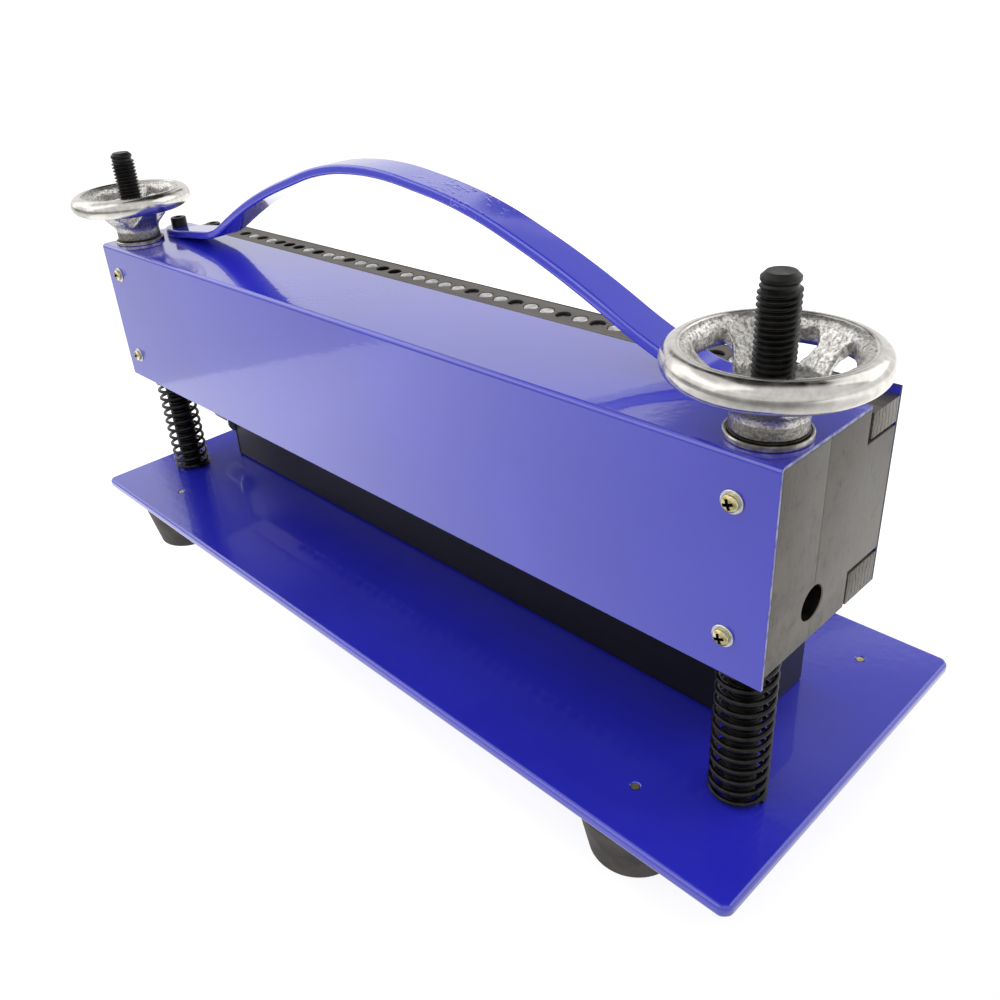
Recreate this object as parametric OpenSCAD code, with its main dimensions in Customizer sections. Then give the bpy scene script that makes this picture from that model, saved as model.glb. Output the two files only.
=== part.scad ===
// Twin-screw bench press: a heavy beam with a row of loose drive pins is pulled down on to an anvil
// bar by two handwheels on threaded rods, and lifted again by two compression springs.
// X runs along the beam, Y to the back, Z up. The floor under the feet is z = 0.

/* [Base] */
// Length of the base plate
base_l = 439; // [420:1:520]
// Width of the base plate
base_w = 160.5; // [156:0.5:200]
// Thickness of the base plate
base_t = 5; // [4:0.5:8]
// Height of the rubber feet
foot_h = 23; // [22:1:40]
// Diameter of a foot under the plate
foot_top_d = 42.8; // [36:0.1:43]
// Diameter of a foot on the floor
foot_floor_d = 34; // [26:0.1:38]

/* [Screws and springs] */
// Distance between the two threaded rods
rod_spacing = 388.5; // [380:0.5:392]
// Place of the rods in front of the middle of the plate
rod_y = -35.6; // [-37:0.1:-34]
// Outer diameter of the rod's thread
rod_d = 12; // [11:0.5:12]
// Pitch of the thread
rod_pitch = 1.75; // [1.25:0.25:2]
// Length of the rod above the base plate
rod_reach = 187.5; // [182:0.5:220]
// Outer diameter of a spring
spring_d = 20.7; // [19:0.1:22]
// Diameter of the spring wire
spring_wire = 1.9; // [1.5:0.1:2]
// Number of turns in a spring
spring_turns = 14.3; // [8:0.1:16]

/* [Beam] */
// Length of the beam
beam_l = 416.8; // [412:0.1:430]
// Height of the beam blocks
beam_h = 71; // [66:0.5:90]
// Gap between the base plate and the beam
beam_lift = 68.1; // [60:0.1:72]
// Front face of the front block
beam_front_y = -50.7; // [-54:0.1:-48]
// Seam between the front block and the rear block
seam_y = -25.3; // [-27:0.1:-24]
// Back face of the rear block
beam_back_y = 16.6; // [15:0.1:20]
// Thickness of the sheet covers
sheet_t = 1.2; // [0.8:0.1:1.2]
// How far the front cover hangs below the beam
cover_drop = 4.7; // [0:0.1:8]

/* [Pins and anvil] */
// Number of drive pins
pin_count = 37; // [5:2:37]
// Distance from pin to pin
pin_pitch = 8.68; // [8.2:0.01:8.7]
// Diameter of a drive pin
pin_d = 6; // [5:0.1:6.5]
// Length of a drive pin
pin_l = 65; // [62:0.5:66]
// Length of the anvil bar
anvil_l = 362; // [340:1:366]
// Width of the anvil bar
anvil_w = 40; // [30:0.5:50]
// Height of the anvil bar
anvil_h = 43.75; // [30:0.25:44]

/* [Handwheels] */
// Outer diameter of a handwheel
wheel_d = 62.5; // [58:0.5:64]
// Thickness of the wheel's round rim
rim_d = 8.5; // [6:0.1:9]
// Number of arms in a wheel
wheel_arms = 5; // [3:1:5]
// Height of the rim's middle above the underside of the hub
rim_lift = 20.4; // [19:0.1:22]

/* [Handle] */
// Width of the flat handle bar
handle_w = 16; // [12:0.5:18]
// Thickness of the flat handle bar
handle_t = 4; // [3:0.5:5]
// Height of the handle's top above the cover
handle_rise = 53.9; // [50:0.1:58]
// Middle of the handle bar from front to back
handle_y = -13.5; // [-14.5:0.1:-12.5]

/* [Hidden] */
$fn = 64;
CUT = 0.5;
SIDES = [-1, 1];

// Heights
plate_z = foot_h + base_t;
beam_z = plate_z + beam_lift;
beam_top_z = beam_z + beam_h;
cover_top_z = beam_top_z + sheet_t;
anvil_top_z = plate_z + anvil_h;
rod_x = rod_spacing / 2;
rod_end_z = foot_h - 15;
rod_top_z = plate_z + rod_reach;

// Base plate edges and corners
base_edge_r = 2;
base_corner = 2.5;

// Feet and their screws
front_foot = [167.3, -58.6];
rear_foot = [192.5, 57.5];
foot_edge_r = 1;
foot_pocket_r = 6;
foot_floor_t = 9;
foot_screw_r = 1.5;
foot_screw_head_r = 3;
foot_screw_head_h = 2.5;

// Threads, nuts and washers
rod_r = rod_d / 2;
thread_depth = 0.61 * rod_pitch;
rod_chamfer = 1.4;
rod_bare = 2.5;
fit_gap = 0.05;
clear_gap = 0.5;
rod_washer_r = 12;
rod_washer_t = 2.5;
rod_nut_flats = 18;
rod_nut_h = 10;

// Springs: one closed turn at each end, and an open coil between
spring_r = (spring_d - spring_wire) / 2;
spring_steps = 14;
spring_sides = 6;
closed_pitch = spring_wire * 1.04;
open_turns = spring_turns - 2;
open_pitch = (beam_lift - spring_wire - 2 * closed_pitch) / open_turns;

// Anvil and the stop on its left end
anvil_y = 11.25;
anvil_edge = 1;
anvil_screw_xs = [-150, -50, 50, 150];
bracket_t = 2;
bracket_y = [-8.75, 8];
bracket_h = 40;
stop_y = -3.5;
stop_z = 50.9;
stop_collar_r = 8.9;
stop_collar_l = 1.6;
stop_knob_r = 5.7;
stop_knob_l = 26.4;
bracket_screw_y = 4.5;
bracket_screw_zs = [36, 61];

// Beam blocks, rails and pins
side_hole_r = 6.2;
side_hole_z = beam_z + 13.8;
side_hole_depth = 6.5;
upper_rail_y = 0.3;
upper_rebate = [-1.6, beam_z + 59.1];
upper_rail_z = beam_z + 60.3;
upper_rail_top = beam_top_z + 0.3;
land_top = beam_top_z - 1.9;
land_x = 187.5;
lower_rail_y = -1.9;
lower_rail_top = beam_z + 12.2;
lower_rebate = [-3.1, beam_z + 13.8];
pin_y = 8.4;
pin_top = upper_rail_top;
pin_gap = 0.08;
recess_drop = 1.3;
deep_drop = 3.8;
pin_end_round = 0.4;
recessed_list = [1, 3, 5, 12, 22, 25, 28, 30, 33, 36];
deep_list = [6, 7, 9, 15, 16, 34];

// Fasteners: socket cap screws are [head radius, head height, shank radius, hexagon across flats]
CAP_M5 = [4.25, 5, 2.5, 4];
CAP_M6 = [5, 6, 3, 5];
CAP_M8 = [6.5, 8, 4, 6];
block_bolt_xs = [-150, -50, 50, 150];
block_bolt_z = beam_z + 36;
block_bolt_l = 45;
cover_screw_x = 194.3;
cover_screw_zs = [beam_z + 9.8, beam_z + 57];
back_screw_zs = [beam_z + 20, beam_z + 52];
cover_screw_r = 1.5;
cover_head_r = 2.9;
cover_head_h = 2.1;
cover_washer_r = 3.8;
cover_washer_t = 0.7;
rail_screw_x = 192;
rail_screw_y = 8.4;
rail_screw_sink = 1.5;
cover_back_y = -1.6;
cover_bend_r = 1.8;
block_edge = 0.8;

// Handle bar: the bends of its underside are [along the beam, height above the cover, reach of the bend]
handle_end_r = handle_w / 2;
left_screw_x = -189;
right_screw_x = 180;
crown = handle_rise - handle_t;
handle_bends = [[-181, 0, 3.6], [-138, 4.9, 9], [-92, crown - 20.7, 26], [-32, crown - 1.4, 18],
    [5, crown + 0.7, 17], [56, crown - 6.8, 22], [104, crown - 24.7, 22], [136, crown - 40.9, 10],
    [159.5, 0, 8]];
bend_steps = 8;

// Thrust stack and handwheels
thrust_r = 12.8;
thrust_h = 1.85;
thrust_pocket_r = 12;
thrust_pocket_h = 1.2;
ring_r = 11.6;
hub_z = cover_top_z + thrust_h + 0.6;
hub_r = 11.25;
hub_top = 14.6;
hub_top_r = 9.2;
rim_r = rim_d / 2;
rim_centre_r = wheel_d / 2 - rim_r;
window_corner_r = 2.2;
window_inner_r = 15.9;
window_outer_r = 19.4;
window_half = 5.3;

function pin_x(i) = (i - (pin_count + 1) / 2) * pin_pitch;
function in_list(i, list) = len([for (v = list) if (v == i) v]) > 0;
function is_recessed(i) = in_list(i, recessed_list);
function is_deep(i) = in_list(i, deep_list);
function pins_of(kind) = [for (i = [1 : pin_count])
    let (k = is_deep(i) ? "deep" : is_recessed(i) ? "recessed" : "flush")
    if (k == kind) i];
function arc(centre, r, from, to, steps) = [for (i = [0 : steps])
    let (a = from + (to - from) * i / steps) centre + r * [cos(a), sin(a)]];
function edge_normal(p, i) = let (s = p[(i + 1) % len(p)] - p[i]) atan2(s.y, s.x) - 90;
// The outline p, drawn anticlockwise, grown by r with round corners
function rounded(p, r) = [for (i = [0 : len(p) - 1])
    let (a = edge_normal(p, (i + len(p) - 1) % len(p)), b = edge_normal(p, i))
    each arc(p[i], r, a, b < a ? b + 360 : b, 6)];
function foot_places() = [for (s = SIDES) for (p = [front_foot, rear_foot]) [s * p.x, p.y]];

// A shape drawn in the X-Z plane, pushed along Y from y0 to y1
module along_y(y0, y1) {
    translate([0, y1, 0]) rotate([90, 0, 0]) linear_extrude(y1 - y0) children();
}

// A shape drawn in the Y-Z plane, pushed along X from x0 to x1
module along_x(x0, x1) {
    translate([x0, 0, 0]) rotate([90, 0, 90]) linear_extrude(x1 - x0) children();
}

// A block given by its lowest and its highest corner
module block(low, high) {
    translate(low) cube(high - low);
}

// A rectangle that stands on y = 0 with its two top corners rounded
module round_top(w, h, r) {
    translate([-w / 2, 0]) square([w, h - r]);
    translate([-w / 2 + r, 0]) square([w - 2 * r, h]);
    for (s = SIDES) translate([s * (w / 2 - r), h - r]) circle(r);
}

// A socket cap screw whose head stands on z = 0 and whose shank runs down
module cap_screw(size, l) {
    difference() {
        union() {
            cylinder(h = size[1] - 0.4, r = size[0]);
            translate([0, 0, size[1] - 0.4]) cylinder(h = 0.4, r1 = size[0], r2 = size[0] - 0.4);
            translate([0, 0, -l]) cylinder(h = l, r = size[2]);
        }
        translate([0, 0, size[1] * 0.5]) cylinder(h = size[1], d = size[3] / cos(30), $fn = 6);
    }
}

// A cross-recessed pan head screw whose head stands on z = 0 and whose shank runs down
module pan_screw(head_r, head_h, r, l) {
    slot_w = head_r * 0.28;
    slot_l = head_r * 1.15;
    dome = [for (a = [0 : 15 : 90]) [head_r * cos(a), head_h * (0.35 + 0.65 * sin(a))]];
    difference() {
        union() {
            rotate_extrude() polygon(concat([[0, 0], [head_r, 0]], dome));
            translate([0, 0, -l]) cylinder(h = l, r = r);
        }
        for (a = [45, 135])
            rotate(a) translate([-slot_l / 2, -slot_w / 2, head_h * 0.4]) cube([slot_l, slot_w, head_h]);
    }
}

// ---- Base ----

module base_plate() {
    half = [base_l / 2, base_w / 2];
    color("#2a2ab4") difference() {
        intersection() {
            translate([0, 0, foot_h]) along_x(-half.x, half.x) round_top(base_w, base_t, base_edge_r);
            translate([0, 0, foot_h]) along_y(-half.y, half.y) round_top(base_l, base_t, base_edge_r);
            linear_extrude(plate_z + CUT) polygon([for (c = [[1, 1], [-1, 1], [-1, -1], [1, -1]])
                for (k = c.x == c.y ? [0, 1] : [1, 0])
                    [c.x * (half.x - k * base_corner), c.y * (half.y - (1 - k) * base_corner)]]);
        }
        for (s = SIDES) translate([s * rod_x, rod_y, foot_h - CUT]) cylinder(h = base_t + 2 * CUT, r = rod_r);
        for (p = foot_places())
            translate([p.x, p.y, foot_h - CUT]) cylinder(h = base_t + 2 * CUT, r = foot_screw_r);
        for (x = anvil_screw_xs)
            translate([x, anvil_y, foot_h - CUT]) cylinder(h = base_t + 2 * CUT, r = CAP_M6[2]);
    }
}

module rubber_foot() {
    top_r = foot_top_d / 2;
    floor_r = foot_floor_d / 2;
    edge = [for (a = [270 : 15 : 345]) [floor_r - foot_edge_r + foot_edge_r * cos(a),
        foot_edge_r + foot_edge_r * sin(a)]];
    rotate_extrude() polygon(concat(
        [[foot_screw_r, foot_h], [foot_screw_r, foot_floor_t], [foot_pocket_r, foot_floor_t],
            [foot_pocket_r, 0]],
        edge, [[floor_r + 0.1, foot_edge_r + 1], [top_r, foot_h]]));
}

module rubber_feet() {
    color("#3a3633") for (p = foot_places()) translate([p.x, p.y, 0]) rubber_foot();
}

module foot_screws() {
    color("#c9b98a") for (p = foot_places()) translate([p.x, p.y, 0]) {
        translate([0, 0, foot_floor_t - foot_screw_head_h])
            cylinder(h = foot_screw_head_h, r = foot_screw_head_r);
        translate([0, 0, foot_floor_t]) cylinder(h = plate_z - foot_floor_t - 0.2, r = foot_screw_r);
    }
}

module threaded_rod() {
    core_r = rod_r - thread_depth;
    first_z = plate_z + 0.5;
    last_z = rod_top_z - rod_bare;
    rings = floor((last_z - first_z) / rod_pitch);
    crest = rod_pitch / 8;
    teeth = [for (i = [0 : rings - 1]) let (z = first_z + i * rod_pitch)
        for (q = [[core_r, 0.06], [rod_r, 0.5 - crest / rod_pitch], [rod_r, 0.5 + crest / rod_pitch],
            [core_r, 0.94]]) [q[0], z + q[1] * rod_pitch]];
    rotate_extrude() polygon(concat(
        [[0, rod_end_z], [rod_r - 1, rod_end_z], [rod_r, rod_end_z + 1], [rod_r, first_z]], teeth,
        [[core_r, last_z], [rod_r - 0.5, last_z + 0.4], [rod_r - 0.5, rod_top_z - rod_chamfer],
            [rod_r - 0.5 - rod_chamfer, rod_top_z], [0, rod_top_z]]));
}

module left_rod() {
    color("#1c1a19") translate([-rod_x, rod_y, 0]) threaded_rod();
}

module right_rod() {
    color("#1c1a19") translate([rod_x, rod_y, 0]) threaded_rod();
}

module rod_washers() {
    color("#8d8d8d") for (s = SIDES) translate([s * rod_x, rod_y, foot_h - rod_washer_t]) difference() {
        cylinder(h = rod_washer_t, r = rod_washer_r);
        translate([0, 0, -CUT]) cylinder(h = rod_washer_t + 2 * CUT, r = rod_r);
    }
}

module rod_nuts() {
    nut_z = foot_h - rod_washer_t - rod_nut_h;
    color("#8d8d8d") for (s = SIDES) translate([s * rod_x, rod_y, nut_z]) difference() {
        cylinder(h = rod_nut_h, d = rod_nut_flats / cos(30), $fn = 6);
        translate([0, 0, -CUT]) cylinder(h = rod_nut_h + 2 * CUT, r = rod_r, $fn = 64);
    }
}

// Height of the wire's middle after t turns
function coil_z(t) = spring_wire / 2 + closed_pitch * min(t, 1)
    + open_pitch * min(max(t - 1, 0), open_turns) + closed_pitch * max(t - 1 - open_turns, 0);

module coil_spring() {
    steps = ceil(spring_turns * spring_steps);
    points = [for (i = [0 : steps]) let (t = spring_turns * i / steps, a = 360 * t)
        for (j = [0 : spring_sides - 1]) let (b = 360 * (j + 0.5) / spring_sides,
            r = spring_r + spring_wire / 2 * cos(b))
            [r * cos(a), r * sin(a), coil_z(t) + spring_wire / 2 * sin(b)]];
    walls = [for (i = [0 : steps - 1]) for (j = [0 : spring_sides - 1])
        let (k = (j + 1) % spring_sides, low = i * spring_sides, high = low + spring_sides)
        [low + j, low + k, high + k, high + j]];
    start_cap = [for (j = [0 : spring_sides - 1]) spring_sides - 1 - j];
    end_cap = [for (j = [0 : spring_sides - 1]) steps * spring_sides + j];
    polyhedron(points, concat(walls, [start_cap, end_cap]), convexity = 10);
}

module left_spring() {
    color("#24211f") translate([-rod_x, rod_y, plate_z]) coil_spring();
}

module right_spring() {
    color("#24211f") translate([rod_x, rod_y, plate_z]) coil_spring();
}

// ---- Anvil ----

module anvil_bar() {
    half = anvil_l / 2;
    edge = anvil_edge;
    color("#17161a") difference() {
        translate([0, anvil_y, plate_z]) along_x(-half, half) polygon([[-anvil_w / 2, 0], [anvil_w / 2, 0],
            [anvil_w / 2, anvil_h - edge], [anvil_w / 2 - edge, anvil_h], [-anvil_w / 2 + edge, anvil_h],
            [-anvil_w / 2, anvil_h - edge]]);
        for (x = anvil_screw_xs)
            translate([x, anvil_y, plate_z - CUT]) cylinder(h = 20 + CUT, r = CAP_M6[2]);
        translate([-half - CUT, stop_y, stop_z]) rotate([0, 90, 0]) cylinder(h = 12 + CUT, r = CAP_M5[2]);
        for (z = bracket_screw_zs)
            translate([-half - CUT, bracket_screw_y, z]) rotate([0, 90, 0])
                cylinder(h = 8 + CUT, r = cover_screw_r);
    }
}

module anvil_screws() {
    color("#3c3c3c") for (x = anvil_screw_xs)
        translate([x, anvil_y, foot_h]) rotate([180, 0, 0]) cap_screw(CAP_M6, base_t + 20);
}

module end_bracket() {
    x0 = -anvil_l / 2 - bracket_t;
    color("#151515") difference() {
        block([x0, bracket_y[0], plate_z], [x0 + bracket_t, bracket_y[1], plate_z + bracket_h]);
        translate([x0 - CUT, stop_y, stop_z]) rotate([0, 90, 0])
            cylinder(h = bracket_t + 2 * CUT, r = CAP_M5[2]);
        for (z = bracket_screw_zs) translate([x0 - CUT, bracket_screw_y, z]) rotate([0, 90, 0])
            cylinder(h = bracket_t + 2 * CUT, r = cover_screw_r);
    }
}

module bracket_screws() {
    color("#c9c9c9") for (z = bracket_screw_zs)
        translate([-anvil_l / 2 - bracket_t, bracket_screw_y, z]) rotate([0, -90, 0])
            pan_screw(cover_head_r, cover_head_h, cover_screw_r, 8);
}

module stop_screw() {
    x0 = -anvil_l / 2 - bracket_t;
    color("#c9c9c9") translate([x0, stop_y, stop_z]) rotate([0, -90, 0]) {
        translate([0, 0, -12]) cylinder(h = 12, r = CAP_M5[2]);
        cylinder(h = stop_collar_l - 0.5, r = stop_collar_r);
        translate([0, 0, stop_collar_l - 0.5])
            cylinder(h = 0.5, r1 = stop_collar_r, r2 = stop_collar_r - 0.5);
        translate([0, 0, stop_collar_l]) cylinder(h = 12, r = CAP_M5[2]);
    }
}

module stop_knob() {
    x0 = -anvil_l / 2 - bracket_t - stop_collar_l;
    nose = stop_knob_r;
    dome = [for (a = [0 : 15 : 90]) [nose * cos(a), stop_knob_l - nose + nose * sin(a)]];
    color("#151515") translate([x0, stop_y, stop_z]) rotate([0, -90, 0]) difference() {
        rotate_extrude() polygon(concat([[0, 0], [stop_knob_r - 1.5, 0], [stop_knob_r, 4]], dome));
        translate([0, 0, -CUT]) cylinder(h = 12 + CUT, r = CAP_M5[2]);
    }
}

// ---- Beam ----

// The two crossbar holes drilled on the seam at the beam's ends
module side_holes() {
    for (s = SIDES) translate([s * (beam_l / 2 - side_hole_depth), seam_y, side_hole_z])
        rotate([0, s * 90, 0]) cylinder(h = side_hole_depth + CUT, r = side_hole_r);
}

// Holes for the bolts that hold the two blocks together, with their heads sunk in the front face
module block_bolt_holes() {
    for (x = block_bolt_xs) translate([x, beam_front_y, block_bolt_z]) rotate([-90, 0, 0]) {
        translate([0, 0, -CUT]) cylinder(h = CAP_M8[1] + 1 + CUT, r = CAP_M8[0] + 0.4);
        cylinder(h = block_bolt_l + CAP_M8[1] + 1, r = CAP_M8[2]);
    }
}

module front_block() {
    color("#75726e") difference() {
        along_x(-beam_l / 2, beam_l / 2) polygon([[beam_front_y, beam_z], [seam_y, beam_z], [seam_y, beam_top_z],
            [beam_front_y + block_edge, beam_top_z], [beam_front_y, beam_top_z - block_edge]]);
        for (s = SIDES)
            translate([s * rod_x, rod_y, beam_z - CUT]) cylinder(h = beam_h + 2 * CUT, r = rod_r + clear_gap);
        side_holes();
        block_bolt_holes();
        for (s = SIDES) for (z = cover_screw_zs) translate([s * cover_screw_x, beam_front_y - CUT, z])
            rotate([-90, 0, 0]) cylinder(h = 6 + CUT, r = cover_screw_r);
    }
}

module rear_block() {
    color("#75726e") difference() {
        block([-beam_l / 2, seam_y, beam_z], [beam_l / 2, beam_back_y, beam_top_z]);
        block([-beam_l / 2 - CUT, upper_rebate[0], upper_rebate[1]],
            [beam_l / 2 + CUT, beam_back_y + CUT, beam_top_z + CUT]);
        block([-beam_l / 2 - CUT, lower_rebate[0], beam_z - CUT],
            [beam_l / 2 + CUT, beam_back_y + CUT, lower_rebate[1]]);
        side_holes();
        block_bolt_holes();
        for (i = [1 : pin_count])
            translate([pin_x(i), pin_y, beam_z]) cylinder(h = beam_h, r = pin_d / 2 + pin_gap);
        for (s = SIDES) {
            translate([s * rail_screw_x, rail_screw_y, upper_rail_z - 14]) cylinder(h = 20, r = CAP_M5[2]);
            translate([s * rail_screw_x, rail_screw_y, lower_rail_top - CUT]) cylinder(h = 14, r = CAP_M5[2]);
            for (z = back_screw_zs) translate([s * cover_screw_x, beam_back_y - 4.5, z])
                rotate([-90, 0, 0]) cylinder(h = 4.5 + CUT, r = cover_screw_r);
        }
        for (x = [left_screw_x, right_screw_x])
            translate([x, handle_y, beam_top_z - 16]) cylinder(h = 16 + CUT, r = CAP_M5[2]);
    }
}

module block_bolts() {
    color("#3c3c3c") for (x = block_bolt_xs)
        translate([x, beam_front_y + CAP_M8[1] + 1, block_bolt_z]) rotate([90, 0, 0])
            cap_screw(CAP_M8, block_bolt_l);
}

module top_cover() {
    front = beam_front_y - sheet_t;
    bend = [front + cover_bend_r, cover_top_z - cover_bend_r];
    outer = arc(bend, cover_bend_r, 180, 90, 6);
    inner = arc(bend, cover_bend_r - sheet_t, 90, 180, 6);
    bottom_z = beam_z - cover_drop;
    color("#2a2ab4") difference() {
        along_x(-beam_l / 2, beam_l / 2) polygon(concat([[beam_front_y, bottom_z], [front, bottom_z]], outer,
            [[cover_back_y, cover_top_z], [cover_back_y, beam_top_z]], inner));
        for (s = SIDES) {
            translate([s * rod_x, rod_y, beam_top_z - CUT]) cylinder(h = 3, r = rod_r + clear_gap);
            for (z = cover_screw_zs) translate([s * cover_screw_x, front - CUT, z])
                rotate([-90, 0, 0]) cylinder(h = 3, r = cover_screw_r);
        }
        for (x = [left_screw_x, right_screw_x])
            translate([x, handle_y, beam_top_z - CUT]) cylinder(h = 3, r = CAP_M5[2]);
    }
}

module back_cover() {
    color("#2a2ab4") difference() {
        block([-beam_l / 2, beam_back_y, beam_z], [beam_l / 2, beam_back_y + sheet_t, cover_top_z]);
        for (s = SIDES) for (z = back_screw_zs) translate([s * cover_screw_x, beam_back_y - CUT, z])
            rotate([-90, 0, 0]) cylinder(h = 3, r = cover_screw_r);
    }
}

module cover_washers() {
    color("#e6e6e6") for (s = SIDES) for (z = cover_screw_zs)
        translate([s * cover_screw_x, beam_front_y - sheet_t, z]) rotate([90, 0, 0]) difference() {
            cylinder(h = cover_washer_t, r = cover_washer_r);
            translate([0, 0, -CUT]) cylinder(h = 2, r = cover_screw_r);
        }
}

module cover_screws() {
    color("#d9cf9a") for (s = SIDES) for (z = cover_screw_zs)
        translate([s * cover_screw_x, beam_front_y - sheet_t - cover_washer_t, z]) rotate([90, 0, 0])
            pan_screw(cover_head_r, cover_head_h, cover_screw_r, 7);
}

module back_cover_screws() {
    color("#d9cf9a") for (s = SIDES) for (z = back_screw_zs)
        translate([s * cover_screw_x, beam_back_y + sheet_t, z]) rotate([-90, 0, 0])
            pan_screw(cover_head_r, cover_head_h, cover_screw_r, 5.2);
}

// ---- Pin rails and pins ----

module upper_pin_rail() {
    land_z = land_top - upper_rail_z;
    color("#8f8b85") difference() {
        block([-beam_l / 2, upper_rail_y, upper_rail_z], [beam_l / 2, beam_back_y, upper_rail_top]);
        for (s = SIDES) translate([s > 0 ? land_x : -beam_l / 2 - CUT, upper_rail_y - CUT, land_top])
            cube([beam_l / 2 - land_x + CUT, 30, 10]);
        for (i = [1 : pin_count])
            translate([pin_x(i), pin_y, upper_rail_z - CUT]) cylinder(h = 20, r = pin_d / 2 + pin_gap);
        for (s = SIDES) translate([s * rail_screw_x, rail_screw_y, 0]) {
            translate([0, 0, upper_rail_z - CUT]) cylinder(h = 20, r = CAP_M5[2]);
            translate([0, 0, land_top - rail_screw_sink]) cylinder(h = 20, r = CAP_M5[0] + 0.3);
        }
    }
}

module lower_pin_rail() {
    color("#8f8b85") difference() {
        block([-beam_l / 2, lower_rail_y, beam_z], [beam_l / 2, beam_back_y, lower_rail_top]);
        for (i = [1 : pin_count])
            translate([pin_x(i), pin_y, beam_z - CUT]) cylinder(h = 20, r = pin_d / 2 + pin_gap);
        for (s = SIDES) translate([s * rail_screw_x, rail_screw_y, beam_z - CUT]) {
            cylinder(h = 20, r = CAP_M5[2]);
            cylinder(h = CAP_M5[1] + 0.4 + CUT, r = CAP_M5[0] + 0.2);
        }
    }
}

module rail_screws() {
    color("#2b2b2b") for (s = SIDES) translate([s * rail_screw_x, rail_screw_y, 0]) {
        translate([0, 0, land_top - rail_screw_sink]) cap_screw(CAP_M5, 17);
        translate([0, 0, beam_z + CAP_M5[1] + 0.4]) rotate([180, 0, 0]) cap_screw(CAP_M5, 18);
    }
}

// A row of drive pins, each with broken edges, let down by drop
module pin_set(kind, drop) {
    r = pin_d / 2;
    e = pin_end_round;
    color("#cfcfcf") for (i = pins_of(kind)) translate([pin_x(i), pin_y, pin_top - pin_l - drop])
        rotate_extrude() polygon([[0, 0], [r - e, 0], [r, e], [r, pin_l - e], [r - e, pin_l], [0, pin_l]]);
}

module flush_pins() {
    pin_set("flush", 0);
}

module recessed_pins() {
    pin_set("recessed", recess_drop);
}

module deep_pins() {
    pin_set("deep", deep_drop);
}

// ---- Handle ----

// The bar's side view: a round arch, two straight slopes and two feet that settle on the cover
// One bend as a smooth curve that starts and ends at its reach from the corner
function bend(before, corner, after) = let (reach = corner[2], p = [corner.x, corner.y],
    a = p - reach * unit(p - [before.x, before.y]), b = p + reach * unit([after.x, after.y] - p))
    [for (i = [0 : bend_steps]) let (t = i / bend_steps) (1 - t) ^ 2 * a + 2 * t * (1 - t) * p + t ^ 2 * b];

function unit(v) = v / norm(v);

module handle_outline() {
    corners = concat([[left_screw_x - handle_end_r, 0]], handle_bends, [[right_screw_x + handle_end_r, 0]]);
    last = len(corners) - 1;
    under = concat([corners[0]], [for (i = [1 : last - 1]) each bend(corners[i - 1], corners[i], corners[i + 1])],
        [corners[last]]);
    end = len(under) - 1;
    over = [for (i = [end : -1 : 0]) let (d = unit(under[min(i + 1, end)] - under[max(i - 1, 0)]))
        under[i] + handle_t * [-d.y, d.x]];
    translate([0, cover_top_z]) polygon(concat(under, over));
}

module handle_bar() {
    y0 = handle_y - handle_w / 2;
    color("#2a2ab4") difference() {
        intersection() {
            along_y(y0, y0 + handle_w) handle_outline();
            linear_extrude(cover_top_z + handle_rise + CUT) {
                translate([left_screw_x, y0]) square([right_screw_x - left_screw_x, handle_w]);
                for (x = [left_screw_x, right_screw_x]) translate([x, handle_y]) circle(handle_end_r);
            }
        }
        for (x = [left_screw_x, right_screw_x])
            translate([x, handle_y, cover_top_z - CUT]) cylinder(h = handle_t + 2 * CUT, r = CAP_M5[2]);
    }
}

module handle_screws() {
    color("#1a1a1a") for (x = [left_screw_x, right_screw_x])
        translate([x, handle_y, cover_top_z + handle_t]) cap_screw(CAP_M5, 20);
}

// ---- Thrust stacks and handwheels ----

// A washer with a shallow pocket, in which the bearing ring sits
module thrust_washer() {
    difference() {
        translate([0, 0, cover_top_z]) cylinder(h = thrust_h, r = thrust_r);
        translate([0, 0, cover_top_z - CUT]) cylinder(h = 5, r = rod_r + clear_gap);
        translate([0, 0, cover_top_z + thrust_h - thrust_pocket_h]) cylinder(h = 5, r = thrust_pocket_r);
    }
}

module bearing_ring() {
    floor_z = cover_top_z + thrust_h - thrust_pocket_h;
    translate([0, 0, floor_z]) difference() {
        cylinder(h = hub_z - floor_z - fit_gap, r = ring_r);
        translate([0, 0, -CUT]) cylinder(h = 5, r = rod_r + clear_gap);
    }
}

module left_thrust_washer() {
    color("#b9b7b2") translate([-rod_x, rod_y, 0]) thrust_washer();
}

module right_thrust_washer() {
    color("#b9b7b2") translate([rod_x, rod_y, 0]) thrust_washer();
}

module left_bearing_ring() {
    color("#3a3836") translate([-rod_x, rod_y, 0]) bearing_ring();
}

module right_bearing_ring() {
    color("#3a3836") translate([rod_x, rod_y, 0]) bearing_ring();
}

// The opening between two arms: a triangle with round corners
module wheel_window() {
    polygon(rounded([[window_inner_r, 0], [window_outer_r, -window_half], [window_outer_r, window_half]],
        window_corner_r));
}

// Hub, dished web and round rim are one casting, turned from one section; the windows leave the arms
module handwheel() {
    bore_r = rod_r + fit_gap;
    rim = arc([rim_centre_r, rim_lift], rim_r, -145, 165, 30);
    section = concat([[bore_r, 0], [hub_r, 0], [hub_r, 4.8], [hub_r + 0.6, 6.6], [hub_r + 2.2, 8.4]], rim,
        [[hub_r + 3.4, 13.2], [hub_r, 12.2], [hub_top_r, 13], [hub_top_r - 0.6, hub_top], [bore_r, hub_top]]);
    translate([0, 0, hub_z]) difference() {
        rotate_extrude() polygon(section);
        for (k = [0 : wheel_arms - 1]) rotate((k + 0.5) * 360 / wheel_arms)
            translate([0, 0, -CUT]) linear_extrude(rim_lift + 6) wheel_window();
    }
}

module left_handwheel() {
    color("#d8d5cf") translate([-rod_x, rod_y, 0]) handwheel();
}

module right_handwheel() {
    color("#d8d5cf") translate([rod_x, rod_y, 0]) handwheel();
}

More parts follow.
